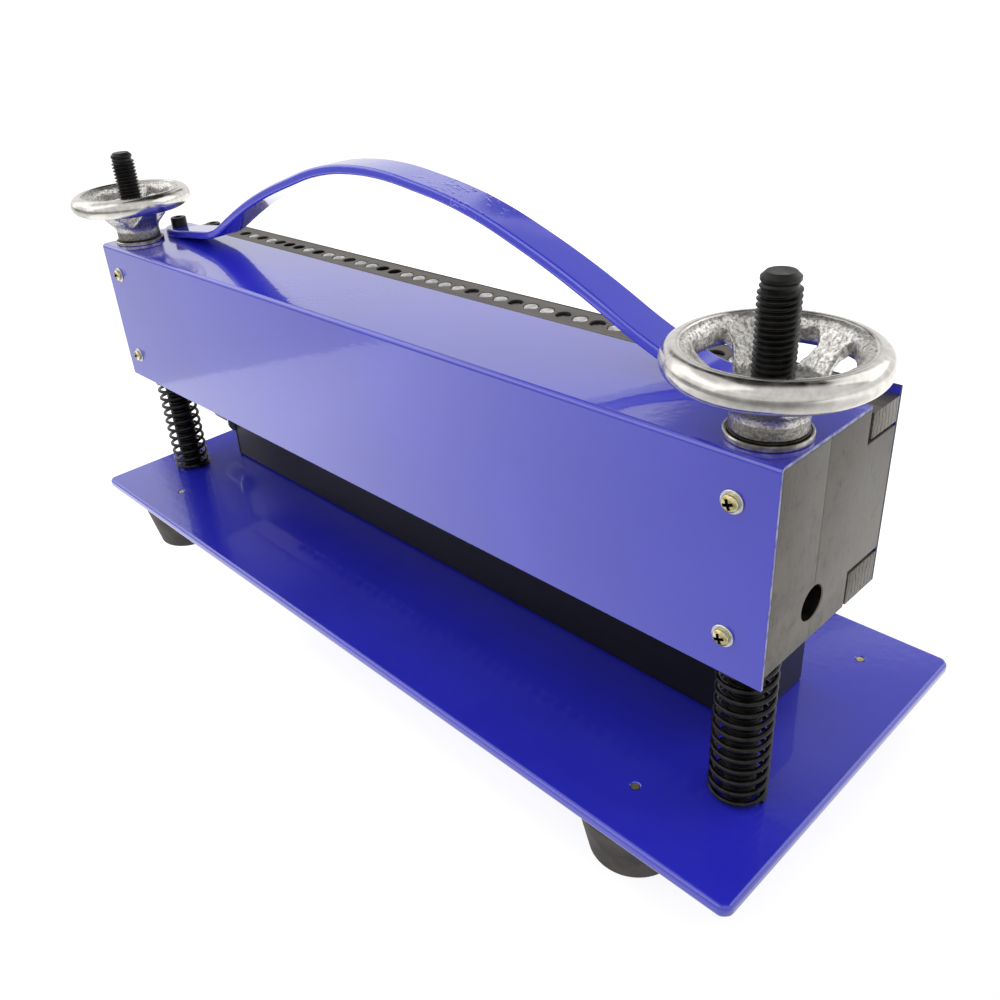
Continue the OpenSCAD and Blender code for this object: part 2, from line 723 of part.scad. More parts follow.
base_plate();
rubber_feet();
foot_screws();
left_rod();
right_rod();
rod_washers();
rod_nuts();
left_spring();
right_spring();
anvil_bar();
anvil_screws();
end_bracket();
bracket_screws();
stop_screw();
stop_knob();
front_block();
rear_block();
block_bolts();
top_cover();
back_cover();
cover_screws();
cover_washers();
back_cover_screws();
upper_pin_rail();
lower_pin_rail();
rail_screws();
handle_bar();
handle_screws();
left_thrust_washer();
right_thrust_washer();
left_bearing_ring();
right_bearing_ring();
left_handwheel();
right_handwheel();
flush_pins();
recessed_pins();
deep_pins();
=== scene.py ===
"""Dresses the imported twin-screw hand press: coated sheet, milled steel, threads, coils and cast wheels."""
import math
from collections import namedtuple

import bmesh
import bpy
from mathutils import Matrix, Vector, noise


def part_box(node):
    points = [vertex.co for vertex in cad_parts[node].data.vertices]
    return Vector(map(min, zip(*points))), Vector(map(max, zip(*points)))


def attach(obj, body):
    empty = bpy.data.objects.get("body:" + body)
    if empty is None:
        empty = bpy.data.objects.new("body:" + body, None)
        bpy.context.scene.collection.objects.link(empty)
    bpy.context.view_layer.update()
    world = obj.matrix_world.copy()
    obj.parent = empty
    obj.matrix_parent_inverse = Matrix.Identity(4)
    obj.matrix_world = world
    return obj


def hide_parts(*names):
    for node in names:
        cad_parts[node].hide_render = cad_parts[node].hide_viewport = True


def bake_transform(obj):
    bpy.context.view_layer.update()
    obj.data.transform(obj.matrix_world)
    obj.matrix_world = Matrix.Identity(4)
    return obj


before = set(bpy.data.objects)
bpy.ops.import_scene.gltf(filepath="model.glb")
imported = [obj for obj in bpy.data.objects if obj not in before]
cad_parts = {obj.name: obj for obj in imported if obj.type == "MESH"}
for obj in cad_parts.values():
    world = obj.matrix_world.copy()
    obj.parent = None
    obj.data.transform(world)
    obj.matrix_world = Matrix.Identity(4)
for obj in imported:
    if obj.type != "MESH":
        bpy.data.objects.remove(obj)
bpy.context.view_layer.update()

# Lengths are in millimetres, except for the camera, the lamps and the floor; skin() makes them metres
MM = 0.001
TAU = 2 * math.pi


# ---- camera

# Where the lens stands, the way it looks, and the way its top points
EYE = Vector((0.31805, -0.25817, 0.29258))
VIEW_DIRECTION = Vector((-0.66338, 0.58029, -0.47244))
VIEW_UP = Vector((-0.30082, 0.37128, 0.87844))

lens = bpy.data.cameras.new("camera")
lens.lens = 34.253
lens.shift_x, lens.shift_y = 0.03318, -0.02944
lens.clip_start = 0.01
back = -VIEW_DIRECTION.normalized()
right = VIEW_UP.cross(back).normalized()
camera = bpy.data.objects.new("camera", lens)
camera.matrix_world = Matrix.Translation(EYE) @ Matrix((right, back.cross(right), back)).transposed().to_4x4()
bpy.context.scene.collection.objects.link(camera)
bpy.context.scene.camera = camera


# ---- sizes from the frame

Corner = namedtuple("Corner", "x y z")


def box(node):
    """Lowest and highest corner of a node."""
    return [Corner(*(c / MM for c in corner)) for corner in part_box(node)]


def middle(node):
    return Corner(*((low + high) / 2 for low, high in zip(*box(node))))


plate_low, plate_high = box("base_plate")
beam_low, beam_high = box("front_block")
rear_low, rear_high = box("rear_block")
cover_low, cover_high = box("top_cover")
back_low, back_high = box("back_cover")
rod_low, rod_high = box("right_rod")
handle_low, handle_high = box("handle_bar")

ROD_X, ROD_Y, _ = middle("right_rod")
ROD_R = (rod_high.x - rod_low.x) / 2
THREAD_PITCH = 1.75
THREAD_DEPTH = 1.07
SPRING_WIRE = 1.9
SPRING_R = 9.4
SPRING_TURNS = 14.3
PIN_COUNT = 37
PIN_PITCH = 8.68
PIN_R = 3.0
PIN_Y = middle("flush_pins").y
# The holes whose pins don't stand flush, counted from the left
RECESSED = (1, 3, 5, 12, 22, 25, 28, 30, 33, 36)
DEEP = (6, 7, 9, 15, 16, 34)
SIDES = {"left": -1, "right": 1}
ENDS = tuple(SIDES.values())
# The lower steps at the ends of the upper rail, where its screws stand
LAND_X = 187.5
LAND_Z = rear_high.z - 1.9
FOOT_PLACES = [(end * x, y) for end in ENDS for x, y in ((167.3, -58.6), (192.5, 57.5))]


# ---- node trees

def sign(operation):
    """A sign between numbers, as one Math node."""
    return lambda self, other: self.nodes.math(operation, self, other)


class Number:
    """A value that nodes work out. The signs + - * / on it add Math nodes."""

    __add__, __sub__, __mul__, __truediv__ = map(sign, ("ADD", "SUBTRACT", "MULTIPLY", "DIVIDE"))

    def __init__(self, nodes, socket):
        self.nodes, self.socket = nodes, socket

    def __rsub__(self, other):
        return self.nodes.math("SUBTRACT", other, self)


class NodeTree:
    """Ways to add nodes to a tree and to join them."""

    def __init__(self, tree):
        self.tree = tree

    def link(self, source, socket):
        self.tree.links.new(getattr(source, "socket", source), socket)

    def add(self, kind, links=None, inputs=None, **settings):
        """One node with its settings, its fixed inputs and its incoming links."""
        node = self.tree.nodes.new(kind)
        for key, value in settings.items():
            setattr(node, key, value)
        for key, value in (inputs or {}).items():
            node.inputs[key].default_value = value
        for key, source in (links or {}).items():
            self.link(source, node.inputs[key])
        return node

    def math(self, operation, a, b=0.0):
        node = self.add("ShaderNodeMath", operation=operation)
        for socket, value in zip(node.inputs, (a, b)):
            if isinstance(value, (int, float)):
                socket.default_value = value
            else:
                self.link(value, socket)
        return Number(self, node.outputs[0])

    def smaller(self, a, b):
        return self.math("MINIMUM", a, b)

    def larger(self, a, b):
        return self.math("MAXIMUM", a, b)

    def remap(self, source, low, high, to_low=0.0, to_high=1.0):
        """The range from low to high stretched over another, and held level beyond its ends."""
        inputs = {"From Min": low, "From Max": high, "To Min": to_low, "To Max": to_high}
        return Number(self, self.add("ShaderNodeMapRange", {"Value": source}, inputs).outputs["Result"])

    def along(self, vector, direction):
        """How far a vector reaches along a direction."""
        node = self.add("ShaderNodeVectorMath", {0: vector}, {1: direction}, operation="DOT_PRODUCT")
        return Number(self, node.outputs["Value"])

    def rays(self):
        """1 for rays from mirrors and through glass, and 1 for rays straight from the camera."""
        path = self.add("ShaderNodeLightPath").outputs
        mirrored = self.larger(path["Is Glossy Ray"], path["Is Transmission Ray"])
        return mirrored, Number(self, path["Is Camera Ray"])


# ---- materials

def colour(code):
    """A linear colour from an sRGB hex code."""
    channels = [int(code[i:i + 2], 16) / 255 for i in (1, 3, 5)]
    return tuple(c / 12.92 if c <= 0.04045 else ((c + 0.055) / 1.055) ** 2.4 for c in channels) + (1.0,)


class Finish(NodeTree):
    """A material under construction: one Principled shader and the patterns that drive it."""

    def __init__(self, name, base, **settings):
        self.material = bpy.data.materials.new(name)
        self.material.use_nodes = True
        super().__init__(self.material.node_tree)
        self.shader = self.tree.nodes["Principled BSDF"]
        self.shader.inputs["Base Color"].default_value = colour(base)
        for key, value in settings.items():
            self.shader.inputs[key.replace("_", " ")].default_value = value

    def join(self, source, socket):
        self.link(source, self.shader.inputs[socket])

    def place(self):
        """Object coordinates, in metres."""
        return self.add("ShaderNodeTexCoord").outputs["Object"]

    def stretched(self, scale, turn=(0, 0, 0)):
        mapping = self.add("ShaderNodeMapping", {"Vector": self.place()}, {"Scale": scale, "Rotation": turn})
        return mapping.outputs["Vector"]

    def noise(self, size_mm, detail=4.0, vector=None, rough=0.5, distortion=0.0):
        """Noise whose features are about size_mm across."""
        links = {"Vector": vector or self.place()}
        inputs = {"Scale": 1 / (size_mm * MM), "Detail": detail, "Roughness": rough, "Distortion": distortion}
        return Number(self, self.add("ShaderNodeTexNoise", links, inputs).outputs["Fac"])

    def ramp(self, source, stops):
        """A colour ramp; stops are (position, hex)."""
        node = self.add("ShaderNodeValToRGB", {"Fac": source})
        while len(node.color_ramp.elements) < len(stops):
            node.color_ramp.elements.new(0.5)
        for element, (position, code) in zip(node.color_ramp.elements, stops):
            element.position = position
            element.color = colour(code)
        return node.outputs["Color"]

    def mix(self, factor, a, b):
        """Colour a turning to colour b; each is a hex code or a socket."""
        node = self.add("ShaderNodeMix", {"Factor": factor}, data_type="RGBA")
        for key, value in ((6, a), (7, b)):
            if isinstance(value, str):
                node.inputs[key].default_value = colour(value)
            else:
                self.link(value, node.inputs[key])
        return node.outputs[2]

    def bump(self, height, strength, depth_mm, before=None):
        links = {"Height": height}
        if before:
            links["Normal"] = before
        inputs = {"Strength": strength, "Distance": depth_mm * MM}
        return self.add("ShaderNodeBump", links, inputs).outputs["Normal"]


def blue_coat(name, base, coat_roughness, coat_ior):
    return Finish(name, base, Roughness=0.24, IOR=1.5, Coat_Weight=1.0, Coat_Roughness=coat_roughness,
                  Coat_IOR=coat_ior)


def powder_coat():
    """Glossy polyester powder coat on steel: deep blue under a clear, slightly orange-peeled skin."""
    f = blue_coat("blue_powder_coat", "#2A2CCC", 0.045, 1.75)
    f.join(f.mix(f.remap(f.noise(60.0, 3.0), 0.35, 0.65), "#292BCB", "#3032D6"), "Base Color")
    # Orange peel is 2 to 4 mm wide; specks of dust under the coat are about half a millimetre
    peel = f.noise(3.2, 2.0)
    specks = f.remap(f.noise(1.1, 1.0), 0.76, 0.8)
    f.join(f.bump(specks, 0.3, 0.05, f.bump(peel, 0.55, 0.05)), "Coat Normal")
    f.join(f.bump(peel, 0.1, 0.05), "Normal")
    return f.material


def handle_coat():
    """The same powder coat over hand-bent flat bar, painted a lighter blue than the plate's to stand in for
    the stronger light on the bar, with a few hammer and vice marks on the arch.
    """
    f = blue_coat("blue_powder_coat_bar", "#2F33DC", 0.06, 1.78)
    peel = f.noise(3.0, 2.0)
    dents = f.noise(5.5, 2.0, f.stretched((0.55, 1.0, 1.0)), distortion=1.5)
    arch_x = 45 * MM
    away = f.math("ABSOLUTE", f.along(f.place(), (1, 0, 0)) - arch_x)
    marks = f.remap(dents, 0.56, 0.66) * f.remap(away, 6 * MM, 30 * MM, 1.0, 0.0)
    normal = f.bump(marks, 0.55, 0.35, f.bump(peel, 0.25, 0.05))
    f.join(normal, "Coat Normal")
    f.join(normal, "Normal")
    return f.material


def milled_steel():
    """Milled mild steel, gone grey-brown with oil and handling, with fine scratches every way, and a painted
    reflection that darkens it toward the top.
    """
    f = Finish("milled_steel", "#75716C", Metallic=0.7)
    blotch = f.noise(16.0, 7.0, rough=0.66, distortion=0.6)
    tone = f.ramp(blotch, ((0.3, "#5C5955"), (0.5, "#75716C"), (0.72, "#8B8781")))
    # Cutter lines lie about a millimetre apart and run up and down the ends
    lines = f.noise(1.3, 3.0, f.stretched((1.0, 2.2, 0.09), (0.04, 0, 0)))
    scratches = f.remap(f.noise(2.4, 1.0, f.stretched((1, 3.0, 0.3), (0.9, 0, 0))), 0.7, 0.74)
    stains = f.remap(f.noise(5.0, 7.0, rough=0.75), 0.52, 0.7, 0.0, 0.6)
    tone = f.mix(f.remap(lines, 0.35, 0.65, 0.0, 0.25), tone, "#8F8B85")
    tone = f.mix(stains, tone, "#4C4945")
    # Painted reflection: darker toward the top, standing in for the darker surroundings that the ends mirror
    # there
    tone = f.mix(f.remap(f.along(f.place(), (0, 0, 1)), 110 * MM, 160 * MM, 0.0, 0.5), tone, "#4C4945")
    f.join(f.mix(scratches * 0.4, tone, "#3B3835"), "Base Color")
    f.join(f.remap(blotch, 0.3, 0.7, 0.42, 0.6), "Roughness")
    f.join(f.bump(scratches, 0.2, 0.03, f.bump(lines, 0.12, 0.02)), "Normal")
    return f.material


def ground_steel():
    """Surface-ground tool steel: even grey along its length, with saw lines across its cut ends."""
    f = Finish("ground_steel", "#6E6A65", Metallic=0.75, Roughness=0.42)
    grain = f.noise(1.2, 3.0, f.stretched((0.05, 1.0, 1.0)))
    tone = f.mix(f.remap(grain, 0.3, 0.7), "#69635C", "#857E76")
    tone = f.mix(f.remap(f.noise(30.0, 5.0), 0.4, 0.65, 0.0, 0.5), tone, "#4F4B47")
    # Saw teeth leave a wavering line about every two millimetres on the ends
    tooth_lines = 2.3 * MM
    across = f.along(f.place(), (0, 1, 0)) + f.noise(5.0, 2.0) * (3.5 * MM)
    wave = f.math("SINE", across * (TAU / tooth_lines))
    normal = f.add("ShaderNodeTexCoord").outputs["Normal"]
    on_end = f.remap(f.math("ABSOLUTE", f.along(normal, (1, 0, 0))), 0.8, 0.95)
    cut = f.remap(wave, 0.35, 0.95) * on_end
    f.join(f.mix(cut * 0.7, tone, "#2E2B29"), "Base Color")
    f.join(f.bump(cut, 0.5, -0.12, f.bump(grain, 0.12, 0.02)), "Normal")
    return f.material


def polished_chrome():
    """Bright chrome plate on a turned and buffed rim, with faint waviness from polishing by hand."""
    f = Finish("polished_chrome", "#DAD7D2", Metallic=1.0)
    haze = f.noise(3.0, 4.0)
    f.join(f.remap(haze, 0.35, 0.7, 0.15, 0.26), "Roughness")
    f.join(f.ramp(haze, ((0.3, "#C9C5BF"), (0.7, "#E2DFDA"))), "Base Color")
    f.join(f.bump(f.noise(9.0, 2.0), 0.15, 0.3), "Normal")
    return f.material


def cast_chrome():
    """Chrome plate straight over a sand casting: bright, but pebbled by the grains of the mould."""
    f = Finish("cast_chrome", "#CFCBC5", Metallic=1.0)
    grains = f.noise(0.9, 2.0, rough=0.6)
    f.join(f.ramp(grains, ((0.32, "#8F8B86"), (0.5, "#CDCAC6"), (0.7, "#ECEAE6"))), "Base Color")
    f.join(f.remap(grains, 0.3, 0.7, 0.42, 0.28), "Roughness")
    f.join(f.bump(grains, 0.7, 0.22, f.bump(f.noise(3.0, 3.0), 0.4, 0.4)), "Normal")
    return f.material


def foot_rubber():
    """Moulded black rubber with a matt, slightly dusty bloom."""
    f = Finish("foot_rubber", "#45403C", Roughness=0.62)
    f.join(f.ramp(f.noise(9.0, 5.0), ((0.35, "#37322F"), (0.65, "#554F4A"))), "Base Color")
    f.join(f.bump(f.noise(0.7, 2.0), 0.25, 0.06), "Normal")
    return f.material


def black_paint():
    """Gloss black paint brushed on steel bar."""
    f = Finish("black_gloss_paint", "#0B0A0F", Roughness=0.4, Specular_IOR_Level=0.25)
    streak = f.noise(5.0, 3.0, f.stretched((0.2, 1.0, 1.0)))
    f.join(f.ramp(streak, ((0.3, "#08070B"), (0.7, "#100F15"))), "Base Color")
    f.join(f.bump(streak, 0.2, 0.08), "Normal")
    return f.material


def patchy(name, size_mm, detail, stops, rough=None, relief=None, harsh=0.5, **settings):
    """A finish whose tone follows one noise.

    Rough is the roughness at the noise's low and high end, relief the strength and depth in mm of its bump,
    and harsh how strong its finest parts are.
    """
    f = Finish(name, stops[1][1], **settings)
    patches = f.noise(size_mm, detail, rough=harsh)
    f.join(f.ramp(patches, stops), "Base Color")
    if rough:
        f.join(f.remap(patches, 0.3, 0.7, *rough), "Roughness")
    if relief:
        f.join(f.bump(patches, *relief), "Normal")
    return f.material


COAT = powder_coat()
HANDLE_COAT = handle_coat()
MILLED = milled_steel()
GROUND = ground_steel()
CHROME = polished_chrome()
CAST = cast_chrome()
RUBBER = foot_rubber()
PAINT = black_paint()
# A sheared edge, where the powder coat is thin and pale over the bright steel
CUT_EDGE = patchy("thin_coat_edge", 2.5, 4.0, ((0.35, "#5C5DA0"), (0.65, "#A3A4C0")), Metallic=0.3,
                  Roughness=0.4)
# A laser-cut edge left dark with scale under the coat
BLACK_EDGE = patchy("scaled_cut_edge", 4.0, 4.0, ((0.4, "#101016"), (0.7, "#23233A")), Roughness=0.5)
# Painted shade: near black, standing in holes and recesses where shade falls
HOLE_SHADE = patchy("oily_gap", 1.5, 3.0, ((0.4, "#0C0B0A"), (0.7, "#221F1B")), Roughness=0.35)
# Steel blackened in hot salts and oiled: near black with a soft sheen
OXIDE = patchy("black_oxide_steel", 4.0, 5.0, ((0.35, "#141312"), (0.6, "#211F1D"), (0.8, "#34312E")),
               rough=(0.28, 0.48), Metallic=0.55, Specular_IOR_Level=0.6)
# Oil-hardened black spring wire, drawn smooth, glossier than the rods
WIRE = patchy("black_spring_wire", 2.5, 4.0, ((0.35, "#121110"), (0.65, "#292624")), rough=(0.18, 0.36),
              Metallic=0.6, Specular_IOR_Level=0.6)
# Thin chrome low on the hub, dulled by grease and pebbled like the rest of the casting
HUB = patchy("dull_cast_chrome", 0.9, 3.0, ((0.3, "#625E5A"), (0.55, "#94908B"), (0.75, "#B8B4AE")),
             relief=(0.6, 0.25), harsh=0.6, Metallic=1.0, Roughness=0.4)
# Bright turned steel with a film of grease
WASHER = patchy("turned_steel", 3.5, 4.0, ((0.35, "#8C867D"), (0.6, "#C6C2BA")), rough=(0.4, 0.2),
                Metallic=1.0)
# Bearing cage, greased, and coloured near black as painted shade for the gap under the hub
BEARING_IN_SHADE = patchy("greased_steel", 2.5, 4.0, ((0.35, "#191715"), (0.65, "#3A3733")), Metallic=0.6,
                 Roughness=0.4)
# Hardened pins, ground bright; hammer faces dulled at the ends
PIN = patchy("bright_pin_steel", 3.0, 4.0, ((0.3, "#ACA8A2"), (0.55, "#D6D4D0"), (0.8, "#E2E0DC")),
             rough=(0.42, 0.24), Metallic=0.9)
# Zinc plate with a yellow chromate film that shifts in tone across the head
YELLOW = patchy("yellow_zinc", 2.2, 3.0, ((0.3, "#C4B374"), (0.55, "#E6DDAC"), (0.75, "#F4EFD2")),
                Metallic=0.85, Roughness=0.24)
# Bright zinc plate on stamped washers and small screws
WHITE = patchy("white_zinc", 2.6, 3.0, ((0.3, "#CFD1D2"), (0.7, "#F0F1F0")), Metallic=0.85, Roughness=0.26)
# Moulded black phenolic with a fine texture
PHENOLIC = patchy("black_phenolic", 1.0, 3.0, ((0.3, "#161515"), (0.7, "#242322")), relief=(0.2, 0.05),
                  Roughness=0.4)


# ---- mesh helpers

def new_object(data, name=None):
    """An object for a mesh or a lamp, under its own name or the data's."""
    obj = bpy.data.objects.new(name or data.name, data)
    bpy.context.scene.collection.objects.link(obj)
    return obj


def mesh_only(obj):
    """The mesh of a helper object, which is removed."""
    mesh = obj.data
    bpy.data.objects.remove(obj)
    return mesh


def tidy(mesh, smooth_angle):
    """Merges doubles, turns faces outwards, and shades smooth over edges blunter than the angle."""
    bm = bmesh.new()
    bm.from_mesh(mesh)
    bmesh.ops.remove_doubles(bm, verts=bm.verts, dist=0.002 * MM)
    bmesh.ops.recalc_face_normals(bm, faces=bm.faces)
    for face in bm.faces:
        face.smooth = True
    for edge in bm.edges:
        edge.smooth = len(edge.link_faces) == 2 and edge.calc_face_angle(0.0) < smooth_angle
    bm.to_mesh(mesh)
    bm.free()


def skin(name, rings, smooth_angle=0.6, closed=True, wrapped=False, capped=True, more=()):
    """A mesh over equal rings of points, each joined to the next; more are further faces, as point numbers.

    Closed joins a ring's last point to its first, wrapped the last ring to the first.
    """
    points = [[c * MM for c in point] for ring in rings for point in ring]
    count = len(rings[0])
    faces = [range(count), range(len(points) - 1, len(points) - count - 1, -1)] if capped else []
    for i in range(len(rings) if wrapped else len(rings) - 1):
        here, there = i * count, (i + 1) % len(rings) * count
        for j in range(count if closed else count - 1):
            k = (j + 1) % count
            faces.append((here + j, here + k, there + k, there + j))
    mesh = bpy.data.meshes.new(name)
    mesh.from_pydata(points, [], [tuple(face) for face in faces] + list(more))
    mesh.validate()
    tidy(mesh, smooth_angle)
    return mesh


def lathe(name, section, steps=64, centre=(0, 0), smooth_angle=0.6):
    """Turns a section of (radius, height) points, closed on itself or on the axis, about Z."""
    x, y = centre
    angles = [TAU * i / steps for i in range(steps)]
    rings = [[(x + r * math.cos(a), y + r * math.sin(a), z) for r, z in section] for a in angles]
    return skin(name, rings, smooth_angle, closed=section[0][0] > 0, wrapped=True, capped=False)


def prism(name, outline, start, end, axis="X"):
    """Pushes an outline along an axis; the outline's points are in the other two, in X, Y, Z order."""
    place = "XYZ".index(axis)
    rings = [[(*point[:place], level, *point[place:]) for point in outline] for level in (start, end)]
    return skin(name, rings, 0.5)


def arc_points(centre, radius, start, end, steps):
    angles = [start + (end - start) * i / steps for i in range(steps + 1)]
    return [(centre[0] + radius * math.cos(a), centre[1] + radius * math.sin(a)) for a in angles]


def rectangle(x0, y0, x1, y1):
    return [(x0, y0), (x1, y0), (x1, y1), (x0, y1)]


def clipped(corners, cut):
    """An outline with a small flat across each corner. A corner's third value is a cut of its own."""
    points = []
    for before, (x, y, *own), after in zip(corners[-1:] + corners, corners, corners[1:] + corners[:1]):
        size = own[0] if own else cut
        for other in (before, after) if size else ():
            way = Vector((other[0] - x, other[1] - y)).normalized()
            points.append((x + way.x * size, y + way.y * size))
        if not size:
            points.append((x, y))
    return points


def turned(points, angle):
    """Points of a plane turned about its origin."""
    return [tuple(Matrix.Rotation(angle, 2) @ Vector(point)) for point in points]


def apply_modifiers(obj, smooth_angle=0.5):
    """Keeps what the modifiers make as a plain mesh."""
    graph = bpy.context.evaluated_depsgraph_get()
    graph.update()
    mesh = bpy.data.meshes.new_from_object(obj.evaluated_get(graph))
    obj.modifiers.clear()
    obj.data = mesh
    if smooth_angle is not None:
        tidy(mesh, smooth_angle)
    return obj


def bevelled(obj, width, segments, angle=0.6):
    """Rounds every edge sharper than the angle."""
    modifier = obj.modifiers.new("bevel", "BEVEL")
    modifier.width = width * MM
    modifier.segments = segments
    modifier.angle_limit = angle
    return apply_modifiers(obj)


def even_shading(obj):
    """Lets large flats decide the shading at rounded edges, so that they mirror as sheet does."""
    modifier = obj.modifiers.new("shading", "WEIGHTED_NORMAL")
    modifier.keep_sharp = True
    modifier.weight = 100
    return apply_modifiers(obj, smooth_angle=None)


def drilled(obj, *cutters):
    """Cuts closed meshes out of obj together."""
    cutter = new_object(joined("cutter", cutters))
    modifier = obj.modifiers.new("holes", "BOOLEAN")
    modifier.object = cutter
    apply_modifiers(obj)
    bpy.data.objects.remove(cutter)
    return obj


def joined(name, meshes):
    """One mesh from several, each keeping its material if it has one."""
    bm = bmesh.new()
    result = bpy.data.meshes.new(name)
    for mesh in meshes:
        start = len(bm.faces)
        bm.from_mesh(mesh)
        bm.faces.ensure_lookup_table()
        for material in mesh.materials:
            result.materials.append(material)
            for face in bm.faces[start:]:
                face.material_index = len(result.materials) - 1
    bm.to_mesh(result)
    bm.free()
    return result


def finish_piece(obj, material, body, slot, *nodes):
    """Gives a piece its material (None keeps its own) and its body, and hides the nodes it replaces; the slot
    is not used.
    """
    if material:
        obj.data.materials.clear()
        obj.data.materials.append(material)
    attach(obj, body)
    if nodes:
        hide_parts(*nodes)


def paint_faces(obj, material, chosen):
    """Gives a second material to the faces chosen by their centre and their normal."""
    obj.data.materials.append(material)
    for face in obj.data.polygons:
        if chosen(face.center / MM, face.normal):
            face.material_index = 1


# ---- repeated pieces by Geometry Nodes

class Grower(NodeTree):
    """A Geometry Nodes tree under construction, with a material among its inputs."""

    def __init__(self, name, **inputs):
        super().__init__(bpy.data.node_groups.new(name, "GeometryNodeTree"))
        face = self.tree.interface
        for label, kind in {"Geometry": "Geometry", "Material": "Material", **inputs}.items():
            face.new_socket(label, in_out="INPUT", socket_type="NodeSocket" + kind)
        face.new_socket("Geometry", in_out="OUTPUT", socket_type="NodeSocketGeometry")
        self.inputs = self.tree.nodes.new("NodeGroupInput").outputs
        self.output = self.tree.nodes.new("NodeGroupOutput")

    def step(self, kind, links=None, inputs=None, **settings):
        """The first output of a new node."""
        return self.add(kind, links, inputs, **settings).outputs[0]

    def close(self, geometry):
        """Ends the tree in real faces with their material."""
        real = self.step("GeometryNodeRealizeInstances", {"Geometry": geometry})
        links = {"Geometry": real, "Material": self.inputs["Material"]}
        self.link(self.step("GeometryNodeSetMaterial", links), self.output.inputs[0])
        return self.tree


def copies_tree():
    """An item on every vertex of the piece's own mesh, all turned the same way."""
    g = Grower("copies_on_points", Item="Object", Turn="Vector")
    item = g.add("GeometryNodeObjectInfo", {"Object": g.inputs["Item"]}, transform_space="ORIGINAL")
    points = g.step("GeometryNodeMeshToPoints", {"Mesh": g.inputs["Geometry"]})
    turn = g.step("FunctionNodeEulerToRotation", {"Euler": g.inputs["Turn"]})
    links = {"Points": points, "Instance": item.outputs["Geometry"], "Rotation": turn}
    return g.close(g.step("GeometryNodeInstanceOnPoints", links))


def coil_tree():
    """A compression spring standing on z = 0: an open coil between two closed end turns."""
    sizes = ("Turns", "Radius", "Height", "Wire")
    g = Grower("coil", **dict.fromkeys(sizes, "Float"))
    turns, radius, height, wire = (Number(g, g.inputs[size]) for size in sizes)
    steps = turns * 40.0
    line = g.step("GeometryNodeMeshLine", {"Count": steps}, {"Offset": (0, 0, MM)})
    turn = Number(g, g.step("GeometryNodeInputIndex")) * turns / (steps - 1.0)
    closed = wire * 1.04
    open_turns = turns - 2.0
    pitch = (height - wire - closed * 2.0) / open_turns
    first = g.smaller(turn, 1.0) * closed
    between = g.smaller(g.larger(turn - 1.0, 0.0), open_turns) * pitch
    last = g.larger(turn - 1.0 - open_turns, 0.0) * closed
    place = {"X": g.math("COSINE", turn * TAU) * radius, "Y": g.math("SINE", turn * TAU) * radius,
             "Z": first + between + (last + wire * 0.5)}
    links = {"Geometry": line, "Position": g.step("ShaderNodeCombineXYZ", place)}
    curve = g.step("GeometryNodeMeshToCurve", {"Mesh": g.step("GeometryNodeSetPosition", links)})
    upright = g.step("GeometryNodeSetCurveNormal", {"Curve": curve}, mode="Z_UP")
    ring = g.step("GeometryNodeCurvePrimitiveCircle", {"Radius": wire * 0.5}, {"Resolution": 12})
    tube = g.step("GeometryNodeCurveToMesh", {"Curve": upright, "Profile Curve": ring}, {"Fill Caps": True})
    return g.close(g.step("GeometryNodeSetShadeSmooth", {"Geometry": tube}))


COPIES = copies_tree()
COIL = coil_tree()


def grown(name, places, tree, **values):
    """A plain mesh from a Geometry Nodes tree run on points at places, its inputs set by name."""
    seeds = bpy.data.meshes.new(name)
    seeds.from_pydata([[c * MM for c in place] for place in places], [], [])
    obj = new_object(seeds, name)
    modifier = obj.modifiers.new("grow", "NODES")
    modifier.node_group = tree
    for item in tree.interface.items_tree:
        if item.in_out == "INPUT" and item.name in values:
            modifier[item.identifier] = values[item.name]
    return apply_modifiers(obj, smooth_angle=None)


def copies(name, item_mesh, places, material, body, slot, *nodes, turn=(0, 0, 0)):
    """A finished piece made of copies at places of a mesh drawn about the origin."""
    item = new_object(item_mesh, "item")
    obj = grown(name, places, COPIES, Item=item, Turn=turn, Material=material)
    bpy.data.objects.remove(item)
    finish_piece(obj, material, body, slot, *nodes)
    return obj


# ---- sheet metal and bar

SHEET = 1.2
SHEET_BEND = 1.8


def base_plate():
    """Laser-cut plate with clipped corners and edges rounded over before coating."""
    bottom, top = plate_low.z, plate_high.z
    outline = clipped(rectangle(plate_low.x, plate_low.y, plate_high.x, plate_high.y), 2.5)
    obj = bevelled(new_object(prism("base_plate_coated", outline, bottom, top, "Z")), 1.6, 4)
    # The screw holes are wider at the top, where the coat is chipped back
    hole = [(0, bottom - 1), (1.75, bottom - 1), (1.75, top - 0.3), (2.25, top + 0.1), (0, top + 0.1)]
    drilled(obj, *(lathe("hole", hole, 24, place) for place in FOOT_PLACES))
    finish_piece(even_shading(obj), COAT, "stand", "blue_powder_coat", "base_plate")


def top_cover():
    """One sheet bent over the top and the front, its cut edges eased."""
    front, back, bottom, top = cover_low.y, cover_high.y, cover_low.z, cover_high.z
    centre = (front + SHEET_BEND, top - SHEET_BEND)
    outer = arc_points(centre, SHEET_BEND, math.pi, math.pi / 2, 8)
    inner = arc_points(centre, SHEET_BEND - SHEET, math.pi / 2, math.pi, 8)
    outline = [(front + SHEET, bottom), (front, bottom), *outer, (back, top), (back, top - SHEET), *inner]
    obj = bevelled(new_object(prism("top_cover_bent", outline, cover_low.x, cover_high.x)), 0.25, 2, 0.7)
    finish_piece(even_shading(obj), COAT, "beam", "blue_powder_coat", "top_cover")
    paint_faces(obj, CUT_EDGE, lambda centre, normal: abs(normal.x) > 0.8)


